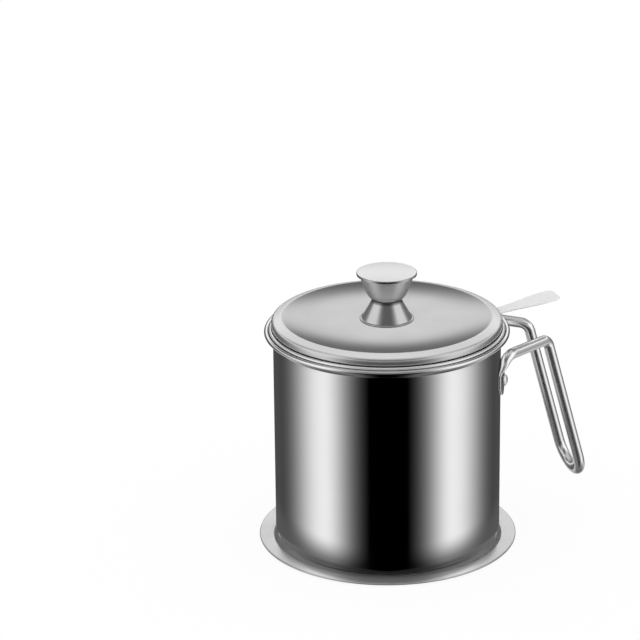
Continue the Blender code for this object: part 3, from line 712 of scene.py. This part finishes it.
def handle(finish):
    """The bent wire as one piece, closed at both ears' ends."""
    points, stations = handle_mesh()
    rows = len(stations)
    faces = quads(rows, WIRE_SIDES, False, True).tolist()
    uvs = corner_uvs(WIRE_SIDES, stations, False)
    ends = [list(range(WIRE_SIDES)), list(range((rows - 1) * WIRE_SIDES, rows * WIRE_SIDES))]
    end_uvs = np.zeros((2 * WIRE_SIDES, 2))
    all_uvs = np.concatenate([uvs, end_uvs])
    return add_piece("bent_handle", points, faces + ends, finish, "pot", "handle_wire", all_uvs)


def dome(radius, height, foot_z, up):
    """Half of an ellipse from the axis to the rim: (R sin a, h cos a)."""
    angle = np.linspace(0, math.pi / 2, ARC_POINTS)
    return np.stack([radius * np.sin(angle), foot_z + up * height * np.cos(angle)], axis=1)


def rivet(name, side, finish, node):
    """Round head outside the ear, shank through the wall and a lower tail inside the pot."""
    ear_face = POT_RADIUS + GAP + EAR_THICKNESS + GAP
    wall_face = POT_RADIUS - POT_SHEET - GAP
    head = dome(RIVET_HEAD_RADIUS, RIVET_HEAD_HEIGHT, ear_face, 1)
    tail = dome(RIVET_TAIL_RADIUS, RIVET_TAIL_HEIGHT, wall_face, -1)[::-1]
    shank = np.array([[RIVET_RADIUS, ear_face], [RIVET_RADIUS, wall_face]])
    section = np.concatenate([head, shank, tail])
    low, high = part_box(node)
    turn = Matrix.Rotation(math.radians(EAR_AZIMUTH * side), 4, "Z")
    lay = Matrix.Rotation(math.radians(90), 4, "Y")
    matrix = Matrix.Translation((0, 0, (low.z + high.z) / 2)) @ turn @ lay
    return turned(name, section, SMALL_SEGMENTS, finish, "pot", node, matrix)


def strap_outline():
    """Half widths along the strap's plan, mirrored: hollow root, neck, flare, rounded tip."""
    root_r = reach("strainer_ring") + GAP
    root_half = STRAP_ROOT_WIDTH / 2
    tip_half = STRAP_TIP_WIDTH / 2
    y = np.linspace(0, root_half, ARC_POINTS)
    root = np.stack([np.sqrt(root_r ** 2 - y ** 2) - root_r, y], axis=1)
    share = np.linspace(0, 1, 3 * ARC_POINTS)
    neck = STRAP_LENGTH * STRAP_NECK_SHARE
    full = STRAP_LENGTH * STRAP_FULL_SHARE
    flare = [neck + (full - neck) * share, root_half + (tip_half - root_half) * smoothstep(share)]
    corner = STRAP_TIP_CORNER
    tip = arc(STRAP_LENGTH - corner, tip_half - corner, corner, 90, 0)
    side = joined(root, np.stack(flare, axis=1), tip)
    return np.concatenate([side, (side * (1, -1))[:0:-1]])


def strap_place():
    """Matrix that lays the strap over the pot's curl, rising outwards from the strainer's rim."""
    rise = math.radians(STRAP_RISE_ANGLE)
    root_r = reach("strainer_ring") + GAP
    curl_r = reach("pot_body") - POT_CURL_RADIUS
    over_z = highest("pot_body") + GAP + STRAP_THICKNESS / 2 / math.cos(rise)
    root_z = over_z - (curl_r - root_r) * math.tan(rise)
    return Matrix.Translation((root_r, 0, root_z)) @ Matrix.Rotation(-rise, 4, "Y")


def strap(finish):
    """Plate with rounded edges: the outline at eight levels, drawn in along its normals.

    At a level of angle b on the edge, the outline moves in by e (1 - cos b) and the height is
    the half thickness less e (1 - sin b).
    """
    outline = strap_outline()
    tangent = unit(np.roll(outline, -1, axis=0) - np.roll(outline, 1, axis=0))
    inward = np.stack([-tangent[:, 1], tangent[:, 0]], axis=1)
    inward *= -np.sign(inward[len(outline) // 4, 1])
    edge = STRAP_EDGE_ROUND
    half = STRAP_THICKNESS / 2
    bevel = np.radians(STRAP_EDGE_ANGLES)
    inset = edge * (1 - np.cos(bevel))
    inset = np.concatenate([inset, inset[::-1]])
    level = half - edge * (1 - np.sin(bevel))
    level = np.concatenate([level, -level[::-1]])
    plan = outline[None] + inward[None] * inset[:, None, None]
    height = np.broadcast_to(level[:, None, None], plan.shape[:2] + (1,))
    points = moved(np.concatenate([plan, height], axis=2).reshape(-1, 3), strap_place())
    count = len(outline)
    faces = quads(len(level), count, False, True).tolist()
    faces += [list(range(count)), list(range((len(level) - 1) * count, len(level) * count))]
    item = add_piece("strap", points, faces, finish, "strainer", "strainer_strap")
    for face in item.data.polygons[-2:]:
        face.use_smooth = False
    return item


def woven_wires(offset, radius, sag_z, side):
    """Grid of wires along X that weave over and under: half a wave from one crossing to the next.

    The height is the sag's paraboloid plus half a wire's thickness times cos(pi x / pitch), with
    the wave turned over from each wire to the next and where the side is -1.
    """
    half_chord = np.sqrt(radius ** 2 - offset ** 2)
    steps = 2 * CLOTH_STEPS * math.ceil(radius / CLOTH_PITCH)
    share = np.linspace(-1, 1, steps + 1)
    x = half_chord[:, None] * share[None, :]
    row = np.round(offset / CLOTH_PITCH)[:, None]
    y = np.broadcast_to(offset[:, None], x.shape)
    span = np.minimum((x ** 2 + y ** 2) / radius ** 2, 1)
    wave = side * CLOTH_WIRE / 2 * np.cos(math.pi * (x / CLOTH_PITCH + row))
    z = sag_z - CLOTH_SAG * (1 - span) + wave
    return np.stack([x, y, z], axis=-1)


def cloth(finish):
    """Plain-woven wire cloth: two crossed sets of wires, each a four-sided tube."""
    radius = reach("strainer_cloth") - CLOTH_WIRE
    sag_z = highest("strainer_cloth") - CLOTH_WIRE
    count = int(radius / CLOTH_PITCH)
    offset = np.arange(-count, count + 1) * CLOTH_PITCH
    offset = offset[np.abs(offset) < radius - CLOTH_PITCH / 2]
    one = woven_wires(offset, radius, sag_z, 1)
    two = woven_wires(offset, radius, sag_z, -1)[..., [1, 0, 2]]
    ring = CLOTH_WIRE / 2 * np.array([[1, 0], [0, 1], [-1, 0], [0, -1]])
    meshes = []
    for wires, side_axis in ((one, (0, 1, 0)), (two, (1, 0, 0))):
        shift = ring[:, :1] * np.array(side_axis) + ring[:, 1:] * np.array((0, 0, 1))
        meshes.append(wires[:, :, None, :] + shift)
    tubes = np.concatenate(meshes)
    wires, stations, sides = tubes.shape[:3]
    one_tube = quads(stations, sides, False, True)
    starts = np.arange(wires)[:, None, None] * stations * sides
    faces = (one_tube[None] + starts).reshape(-1, 4).tolist()
    first = (np.arange(wires) * stations * sides)[:, None] + np.arange(sides)
    last = first + (stations - 1) * sides
    faces += first.tolist() + last.tolist()
    points = tubes.reshape(-1, 3)
    return add_piece("wire_cloth", points, faces, finish, "strainer", "strainer_cloth")


def feed(tree, socket, value):
    """Give a shader input its value: another socket is linked, a plain value is set."""
    if isinstance(value, bpy.types.NodeSocket):
        tree.links.new(value, socket)
    else:
        socket.default_value = value


def node(tree, kind, inputs=None, **settings):
    """Add a shader node, set its properties and feed its inputs."""
    made = tree.nodes.new(kind)
    for key, value in settings.items():
        setattr(made, key, value)
    for key, value in (inputs or {}).items():
        feed(tree, made.inputs[key], value)
    return made


def calc(tree, operation, first, *others):
    """Chain arithmetic nodes of one kind over the values and return the last output.

    A lone value gets one node.
    """
    if not others:
        return node(tree, "ShaderNodeMath", {0: first}, operation=operation).outputs[0]
    for value in others:
        first = node(tree, "ShaderNodeMath", {0: first, 1: value}, operation=operation).outputs[0]
    return first


def stretch(tree, value, start, end, low, high, **settings):
    """Straight line of a value between two places, from one level to another, held outside."""
    return node(tree, "ShaderNodeMapRange", {
        "Value": value, "From Min": start, "From Max": end, "To Min": low, "To Max": high},
        **settings).outputs["Result"]


def ease(tree, value, start, end, low, high):
    """Smooth step of a value between two places, from one level to another."""
    return stretch(tree, value, start, end, low, high, interpolation_type="SMOOTHSTEP")


def neutral(tree, grey):
    """Colour of a grey."""
    channels = {"Red": grey, "Green": grey, "Blue": grey}
    return node(tree, "ShaderNodeCombineColor", channels).outputs["Color"]


def vector_calc(tree, operation, result, first, *others):
    """Add one vector arithmetic node and return the output of the given name."""
    inputs = dict(enumerate((first, *others)))
    return node(tree, "ShaderNodeVectorMath", inputs, operation=operation).outputs[result]


def effect_group(name, numbers, vectors, outputs):
    """Start a shared effect; return it with the nodes for its inputs and its outputs."""
    group = bpy.data.node_groups.new(name, "ShaderNodeTree")
    for label, value in numbers.items():
        socket = group.interface.new_socket(label, in_out="INPUT", socket_type="NodeSocketFloat")
        socket.default_value = value
    for label in vectors:
        group.interface.new_socket(label, in_out="INPUT", socket_type="NodeSocketVector")
    for label in outputs:
        group.interface.new_socket(label, in_out="OUTPUT", socket_type="NodeSocketFloat")
    return group, group.nodes.new("NodeGroupInput"), group.nodes.new("NodeGroupOutput")


def polish_group():
    """Shared effect: fine polishing lines along the sheet and broad uneven sheen."""
    numbers = {"Sheen Scale": SHEEN_SCALE, "Line Contrast": LINE_CONTRAST}
    group, enter, leave = effect_group("polish_marks", numbers, ("Vector",), ("Lines", "Sheen"))
    lines = node(group, "ShaderNodeTexNoise", {
        "Vector": enter.outputs["Vector"], "Scale": 1.0, "Detail": LINE_DETAIL})
    place = node(group, "ShaderNodeTexCoord")
    sheen = node(group, "ShaderNodeTexNoise", {
        "Vector": place.outputs["Object"], "Scale": enter.outputs["Sheen Scale"],
        "Detail": SHEEN_DETAIL})
    spread = stretch(group, lines.outputs["Fac"], *LINE_SPREAD, 0.0, 1.0)
    strength = calc(group, "MULTIPLY", spread, enter.outputs["Line Contrast"])
    feed(group, leave.inputs["Lines"], strength)
    feed(group, leave.inputs["Sheen"], sheen.outputs["Fac"])
    return group


def radius_mask_group():
    """Shared effect: 0 inside a radius about the vertical axis, 1 outside it, with a soft edge."""
    numbers = {"Radius": 0.0, "Softness": 1.0}
    group, enter, leave = effect_group("radius_mask", numbers, (), ("Mask",))
    place = node(group, "ShaderNodeTexCoord").outputs["Object"]
    flat = vector_calc(group, "MULTIPLY", "Vector", place, (1, 1, 0))
    length = vector_calc(group, "LENGTH", "Value", flat)
    past = calc(group, "SUBTRACT", length, enter.outputs["Radius"])
    share = calc(group, "DIVIDE", past, enter.outputs["Softness"])
    feed(group, leave.inputs["Mask"], stretch(group, share, -0.5, 0.5, 0.0, 1.0))
    return group


POLISH = polish_group()
RADIUS_MASK = radius_mask_group()


def zone(radius, softness, grey, rough=0.0, metal=0.0):
    """Outer part of a turned piece: a factor for its grey, and added roughness and metal."""
    return radius, softness, grey, rough, metal


def steel(name, turned_sheet=True, zones=()):
    """Stainless steel of a named finish: base grey and roughness follow the polishing marks.

    On a turned piece the lines run round the axis, in the sheet's own map; elsewhere they
    follow Object coordinates. A satin finish has metal below 1. Grooves narrower than the
    finish's hollow get painted shade: ambient occlusion darkens the base grey.
    """
    look = FINISHES[name]
    metal = look.get("metal", 1.0)
    finish = bpy.data.materials.new(name)
    finish.use_nodes = True
    tree = finish.node_tree
    shader = tree.nodes["Principled BSDF"]
    if turned_sheet:
        source = node(tree, "ShaderNodeUVMap", uv_map="sheet").outputs["UV"]
        scale = TURNED_LINES_SCALE
    else:
        source = node(tree, "ShaderNodeTexCoord").outputs["Object"]
        scale = GRAIN_SCALE
    mapping = node(tree, "ShaderNodeMapping", {"Vector": source, "Scale": scale})
    marks = node(tree, "ShaderNodeGroup", {
        "Vector": mapping.outputs["Vector"], "Line Contrast": LINE_CONTRAST}, node_tree=POLISH)
    total = calc(tree, "ADD", marks.outputs["Lines"], marks.outputs["Sheen"])
    grey = stretch(tree, total, *MARKS_SPREAD, look["dark"], look["light"])
    gloss = stretch(tree, total, *MARKS_SPREAD, look["rough"], look["smooth"])
    for radius, softness, factor, more_rough, more_metal in zones:
        mask = node(tree, "ShaderNodeGroup", {
            "Radius": radius, "Softness": softness}, node_tree=RADIUS_MASK)
        share = mask.outputs["Mask"]
        change = calc(tree, "ADD", calc(tree, "MULTIPLY", share, factor - 1), 1.0)
        grey = calc(tree, "MULTIPLY", grey, change)
        if more_rough:
            gloss = calc(tree, "ADD", gloss, calc(tree, "MULTIPLY", share, more_rough))
        if more_metal:
            metal = calc(tree, "ADD", calc(tree, "MULTIPLY", share, more_metal), metal)
    # Painted shade: ambient occlusion darkens the base grey in grooves narrower than the finish's
    # hollow
    hollow = {"Distance": look.get("hollow", CREVICE_SHADE_REACH)}
    crevice_shade = node(tree, "ShaderNodeAmbientOcclusion", hollow, samples=CREVICE_SHADE_SAMPLES)
    crevice_shade_factor = ease(tree, crevice_shade.outputs["AO"], *CREVICE_SHADE_SPREAD, CREVICE_SHADE_GREY, 1.0)
    colour = neutral(tree, calc(tree, "MULTIPLY", grey, crevice_shade_factor))
    relief = node(tree, "ShaderNodeBump", {
        "Height": marks.outputs["Lines"], "Strength": LINE_RELIEF, "Distance": LINE_DEPTH})
    feed(tree, shader.inputs["Base Color"], colour)
    feed(tree, shader.inputs["Roughness"], gloss)
    feed(tree, shader.inputs["Metallic"], metal)
    feed(tree, shader.inputs["Normal"], relief.outputs["Normal"])
    return finish


def tray_zones():
    """Painted shade along the drip tray's turned-down edge, which is also a little more metallic.
    """
    radius = reach("drip_tray") - TRAY_EDGE_INSET
    return (zone(radius, TRAY_EDGE_INSET, TRAY_EDGE_SHADE, metal=TRAY_EDGE_METAL),)


def lid_zones():
    """Painted shade towards the dish's edge, a duller satin ring with a painted highlight, and a
    skirt that is polished again without the highlight.
    """
    crest_r = reach("lid_shell") - LID_RING_WIDTH
    ring_r = crest_r - LID_RING_INSET
    ring_highlight = LID_RING_HIGHLIGHT / LID_SHADE
    skirt_r = reach("lid_shell") - LID_SHOULDER_RADIUS * LID_SKIRT_SHARE
    return (
        zone(crest_r - LID_SHADE_INSET, LID_SHADE_WIDTH, LID_SHADE),
        zone(ring_r, LID_RING_SOFTNESS, ring_highlight, LID_RING_ROUGH, LID_RING_METAL),
        zone(skirt_r, LID_RING_SOFTNESS, 1 / LID_RING_HIGHLIGHT, LID_SKIRT_ROUGH, LID_SKIRT_METAL))


def stem_zones():
    """The stem outside its waist, without the painted shade that darkens the waist under the bowl.
    """
    return (zone(STEM_WAIST_RADIUS + KNOB_SHEET, KNOB_SHEET, 1 / WAIST_SHADE),)


def cap_zones():
    """Polished lip round the cap's satin crown, darkened with painted shade."""
    radius = reach("knob_cap") - CAP_EDGE_RADIUS
    return (zone(radius, CAP_EDGE_RADIUS, CAP_LIP_SHADE, CAP_LIP_ROUGH, CAP_LIP_METAL),)


def fastener(name, finish, node_name):
    """The CAD solid itself, smooth across its shallow edges."""
    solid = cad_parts[node_name]
    mesh = solid.data.copy()
    mesh.transform(solid.matrix_world)
    mesh.materials.clear()
    mesh.materials.append(finish)
    mesh.shade_smooth()
    mesh.set_sharp_from_angle(angle=math.radians(FASTENER_SMOOTH_ANGLE))
    item = linked(name, mesh)
    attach(item, "lid")
    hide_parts(node_name)
    return item


def hide_from_reflections(*pieces):
    """Keep pieces out of the mirrored picture, so that the lid and the wall stay clean."""
    for piece in pieces:
        piece.visible_glossy = False


def make_tray():
    """Drip tray."""
    finish = steel("pressed_tray", zones=tray_zones())
    tray = turned("tray", tray_section(), LARGE_SEGMENTS, finish, "tray", "drip_tray")
    hide_from_reflections(tray)


def make_pot(rim_steel):
    """Pot with its bent wire handle and two rivets."""
    mirror = steel("mirror_polish")
    turned("pot", pot_section(), LARGE_SEGMENTS, mirror, "pot", "pot_body")
    wire = handle(steel("drawn_wire"))
    right = rivet("rivet_right", 1, rim_steel, "handle_rivet_right")
    left = rivet("rivet_left", -1, rim_steel, "handle_rivet_left")
    hide_from_reflections(wire, right, left)


def make_strainer(rim_steel):
    """Strainer's frame, clamp ring, cloth and strap."""
    shell = strainer_section()
    clamp = clamp_section()
    turned("strainer_frame", shell, LARGE_SEGMENTS, rim_steel, "strainer", "strainer_ring")
    turned("cloth_clamp", clamp, LARGE_SEGMENTS, rim_steel, "strainer", "cloth_clamp_ring")
    cloth(steel("woven_wire", turned_sheet=False))
    strap(steel("satin_strap", turned_sheet=False))


def make_lid():
    """Lid."""
    finish = steel("pressed_lid", zones=lid_zones())
    turned("lid", lid_section(), LARGE_SEGMENTS, finish, "lid", "lid_shell")


def make_knob():
    """Stem, bowl and cap of the knob, and its fasteners."""
    stem_steel = steel("turned_stem", zones=stem_zones())
    bowl_steel = steel("satin_bowl")
    cap_steel = steel("satin_cap", zones=cap_zones())
    fastener_steel = steel("plain_fastener", turned_sheet=False)
    stem = turned("stem", stem_section(), KNOB_SEGMENTS, stem_steel, "lid", "knob_stem")
    bowl = turned("bowl", bowl_section(), KNOB_SEGMENTS, bowl_steel, "lid", "knob_bowl")
    cap = turned("cap", cap_section(), KNOB_SEGMENTS, cap_steel, "lid", "knob_cap")
    cap.data.set_sharp_from_angle(angle=math.radians(CAP_SMOOTH_ANGLE))
    nut = fastener("nut", fastener_steel, "knob_nut")
    screw = fastener("screw", fastener_steel, "knob_screw")
    washer = fastener("washer", fastener_steel, "screw_washer")
    hide_from_reflections(stem, bowl, cap, nut, screw, washer)


def camera():
    """Set the camera where the photograph was taken from."""
    data = bpy.data.cameras.new("photo_camera")
    data.lens = CAMERA_LENS
    data.sensor_width = CAMERA_SENSOR
    data.clip_start = CAMERA_NEAR
    item = linked("photo_camera", data)
    pan = math.radians(CAMERA_PAN)
    tilt = math.radians(CAMERA_TILT)
    flat = math.cos(tilt)
    forward = Vector((math.sin(pan) * flat, math.cos(pan) * flat, -math.sin(tilt)))
    level = Vector((math.cos(pan), -math.sin(pan), 0))
    upward = level.cross(forward)
    roll = math.radians(CAMERA_ROLL)
    right = level * math.cos(roll) + upward * math.sin(roll)
    top = upward * math.cos(roll) - level * math.sin(roll)
    matrix = Matrix((right, top, -forward)).transposed().to_4x4()
    matrix.translation = Vector(CAMERA_PLACE)
    item.matrix_world = matrix
    bpy.context.scene.camera = item


def bell(tree, value, centre, below, above):
    """Bell curve with its own width on each side: e to the power of -(distance / width) squared."""
    away = calc(tree, "SUBTRACT", value, centre)
    under = calc(tree, "DIVIDE", calc(tree, "MINIMUM", away, 0.0), below)
    over = calc(tree, "DIVIDE", calc(tree, "MAXIMUM", away, 0.0), above)
    widths = calc(tree, "ADD", under, over)
    return calc(tree, "EXPONENT", calc(tree, "MULTIPLY", widths, widths, -1.0))


def studio_front():
    """Level direction that the studio is built round: the camera's side, turned a little."""
    turn = Matrix.Rotation(math.radians(STUDIO_TURN), 3, "Z")
    return turn @ Vector((CAMERA_PLACE[0], CAMERA_PLACE[1], 0)).normalized()


def studio_angles(tree):
    """Share of the half turn from the studio's front, and elevation in degrees."""
    direction = node(tree, "ShaderNodeTexCoord").outputs["Generated"]
    ahead = vector_calc(tree, "DOT_PRODUCT", "Value", direction, studio_front())
    up = node(tree, "ShaderNodeSeparateXYZ", {"Vector": direction}).outputs["Z"]
    squared = calc(tree, "MULTIPLY", up, up)
    level = calc(tree, "SQRT", calc(tree, "SUBTRACT", 1 + POLE_MARGIN, squared))
    turn = calc(tree, "ARCCOSINE", calc(tree, "DIVIDE", ahead, level))
    around = calc(tree, "DIVIDE", turn, math.pi)
    rise = calc(tree, "MULTIPLY", calc(tree, "ARCSINE", up), 180 / math.pi)
    return around, rise


def panel_light(tree, around, rise):
    """Two upright panels at the sides, a dim backing, and a light low down at the back.

    All fade towards the ceiling and towards the ground.
    """
    panels = calc(tree, "SUBTRACT", bell(tree, around, *PANEL_PLACE), PANEL_CUT)
    panels = calc(tree, "MULTIPLY", calc(tree, "MAXIMUM", panels, 0.0), PANEL_LEVEL)
    backing = ease(tree, around, *BACKING_START, 0.0, BACKING_LEVEL)
    far = ease(tree, around, *FAR_START, 0.0, FAR_LEVEL)
    far = calc(tree, "MULTIPLY", far, ease(tree, rise, *FAR_TOP, 1.0, 0.0))
    top = ease(tree, rise, *PANEL_TOP, 1.0, 0.0)
    foot = ease(tree, rise, *PANEL_FOOT, FOOT_SHARE, 1.0)
    return calc(tree, "MULTIPLY", calc(tree, "ADD", panels, backing, far), top, foot)


def band_light(tree, around, rise):
    """Level band behind, which weakens towards the camera's side."""
    band = ease(tree, around, *BAND_START, BAND_LOW, 1.0)
    return calc(tree, "MULTIPLY", bell(tree, rise, *BAND_PLACE), band)


def room_light(tree, around, rise):
    """Dim walls above the horizon, a grey ceiling, and a faint light on the camera's side."""
    ambient = ease(tree, rise, *AMBIENT_RISE, 0.0, AMBIENT_LEVEL)
    overhead = ease(tree, rise, *OVERHEAD_RISE, 0.0, OVERHEAD_LEVEL)
    facing = ease(tree, around, *FACING_END, FACING_LEVEL, 0.0)
    foot = ease(tree, rise, *FACING_RISE, 0.0, 1.0)
    top = ease(tree, rise, *FACING_TOP, 1.0, 0.0)
    return calc(tree, "ADD", ambient, overhead, calc(tree, "MULTIPLY", facing, foot, top))


def studio_grey(tree):
    """Grey of the studio in reflections, from a direction alone, up to white."""
    around, rise = studio_angles(tree)
    lights = [make(tree, around, rise) for make in (panel_light, band_light, room_light)]
    return calc(tree, "MINIMUM", calc(tree, "ADD", *lights), 1.0)


def studio():
    """White surroundings for the eye and the floor, and the grey studio for reflections."""
    world = bpy.data.worlds.new("studio")
    bpy.context.scene.world = world
    world.cycles.sampling_method = "NONE"
    world.use_nodes = True
    tree = world.node_tree
    tree.nodes.clear()
    rays = node(tree, "ShaderNodeLightPath")
    colour = neutral(tree, studio_grey(tree))
    mirrored = node(tree, "ShaderNodeBackground", {"Color": colour, "Strength": 1.0})
    white = node(tree, "ShaderNodeBackground", {"Color": WHITE, "Strength": 1.0})
    choice = node(tree, "ShaderNodeMixShader", {
        0: rays.outputs["Is Glossy Ray"], 1: white.outputs[0], 2: mirrored.outputs[0]})
    node(tree, "ShaderNodeOutputWorld", {"Surface": choice.outputs[0]})


def floor_paint(tree, rays):
    """White paint that keeps a light contact shadow: mostly plain white to the camera."""
    paint = node(tree, "ShaderNodeBsdfDiffuse", {"Color": WHITE})
    glow = node(tree, "ShaderNodeEmission", {"Color": WHITE, "Strength": 1.0})
    seen = calc(tree, "MULTIPLY", rays.outputs["Is Camera Ray"], FLOOR_LIFT)
    return node(tree, "ShaderNodeMixShader", {0: seen, 1: paint.outputs[0], 2: glow.outputs[0]})


def floor_in_reflections(tree):
    """The studio seen through the floor: dimmed round the object, with a faint light there.

    The faint light leaves out the camera's side.
    """
    place = node(tree, "ShaderNodeTexCoord").outputs["Object"]
    away = vector_calc(tree, "LENGTH", "Value", place)
    passed = ease(tree, away, *FLOOR_DIM_RADII, 1 - FLOOR_DIMMING, 1.0)
    clear = node(tree, "ShaderNodeBsdfTransparent", {"Color": neutral(tree, passed)})
    toward = vector_calc(tree, "NORMALIZE", "Vector", place)
    frontness = vector_calc(tree, "DOT_PRODUCT", "Value", toward, studio_front())
    glow = ease(tree, frontness, *FLOOR_GLOW_FRONT, FLOOR_GLOW, 0.0)
    glow = calc(tree, "MULTIPLY", glow, ease(tree, away, *FLOOR_DIM_RADII, 1.0, 0.0))
    faint = node(tree, "ShaderNodeEmission", {"Color": WHITE, "Strength": glow})
    return node(tree, "ShaderNodeAddShader", {0: clear.outputs[0], 1: faint.outputs[0]})


def floor():
    """Round white floor, which reflections see through."""
    mesh = bpy.data.meshes.new("floor")
    work = bmesh.new()
    bmesh.ops.create_circle(work, cap_ends=True, segments=FLOOR_SEGMENTS, radius=FLOOR_RADIUS)
    work.to_mesh(mesh)
    work.free()
    item = linked("floor", mesh)
    finish = bpy.data.materials.new("white_floor")
    finish.use_nodes = True
    tree = finish.node_tree
    tree.nodes.clear()
    rays = node(tree, "ShaderNodeLightPath")
    paint = floor_paint(tree, rays)
    clear = floor_in_reflections(tree)
    choice = node(tree, "ShaderNodeMixShader", {
        0: rays.outputs["Is Glossy Ray"], 1: paint.outputs[0], 2: clear.outputs[0]})
    node(tree, "ShaderNodeOutputMaterial", {"Surface": choice.outputs[0]})
    mesh.materials.append(finish)


RIM_STEEL = steel("bright_rim")
make_tray()
make_pot(RIM_STEEL)
make_strainer(RIM_STEEL)
make_lid()
make_knob()
camera()
studio()
floor()
bpy.context.scene.view_settings.view_transform = "Standard"
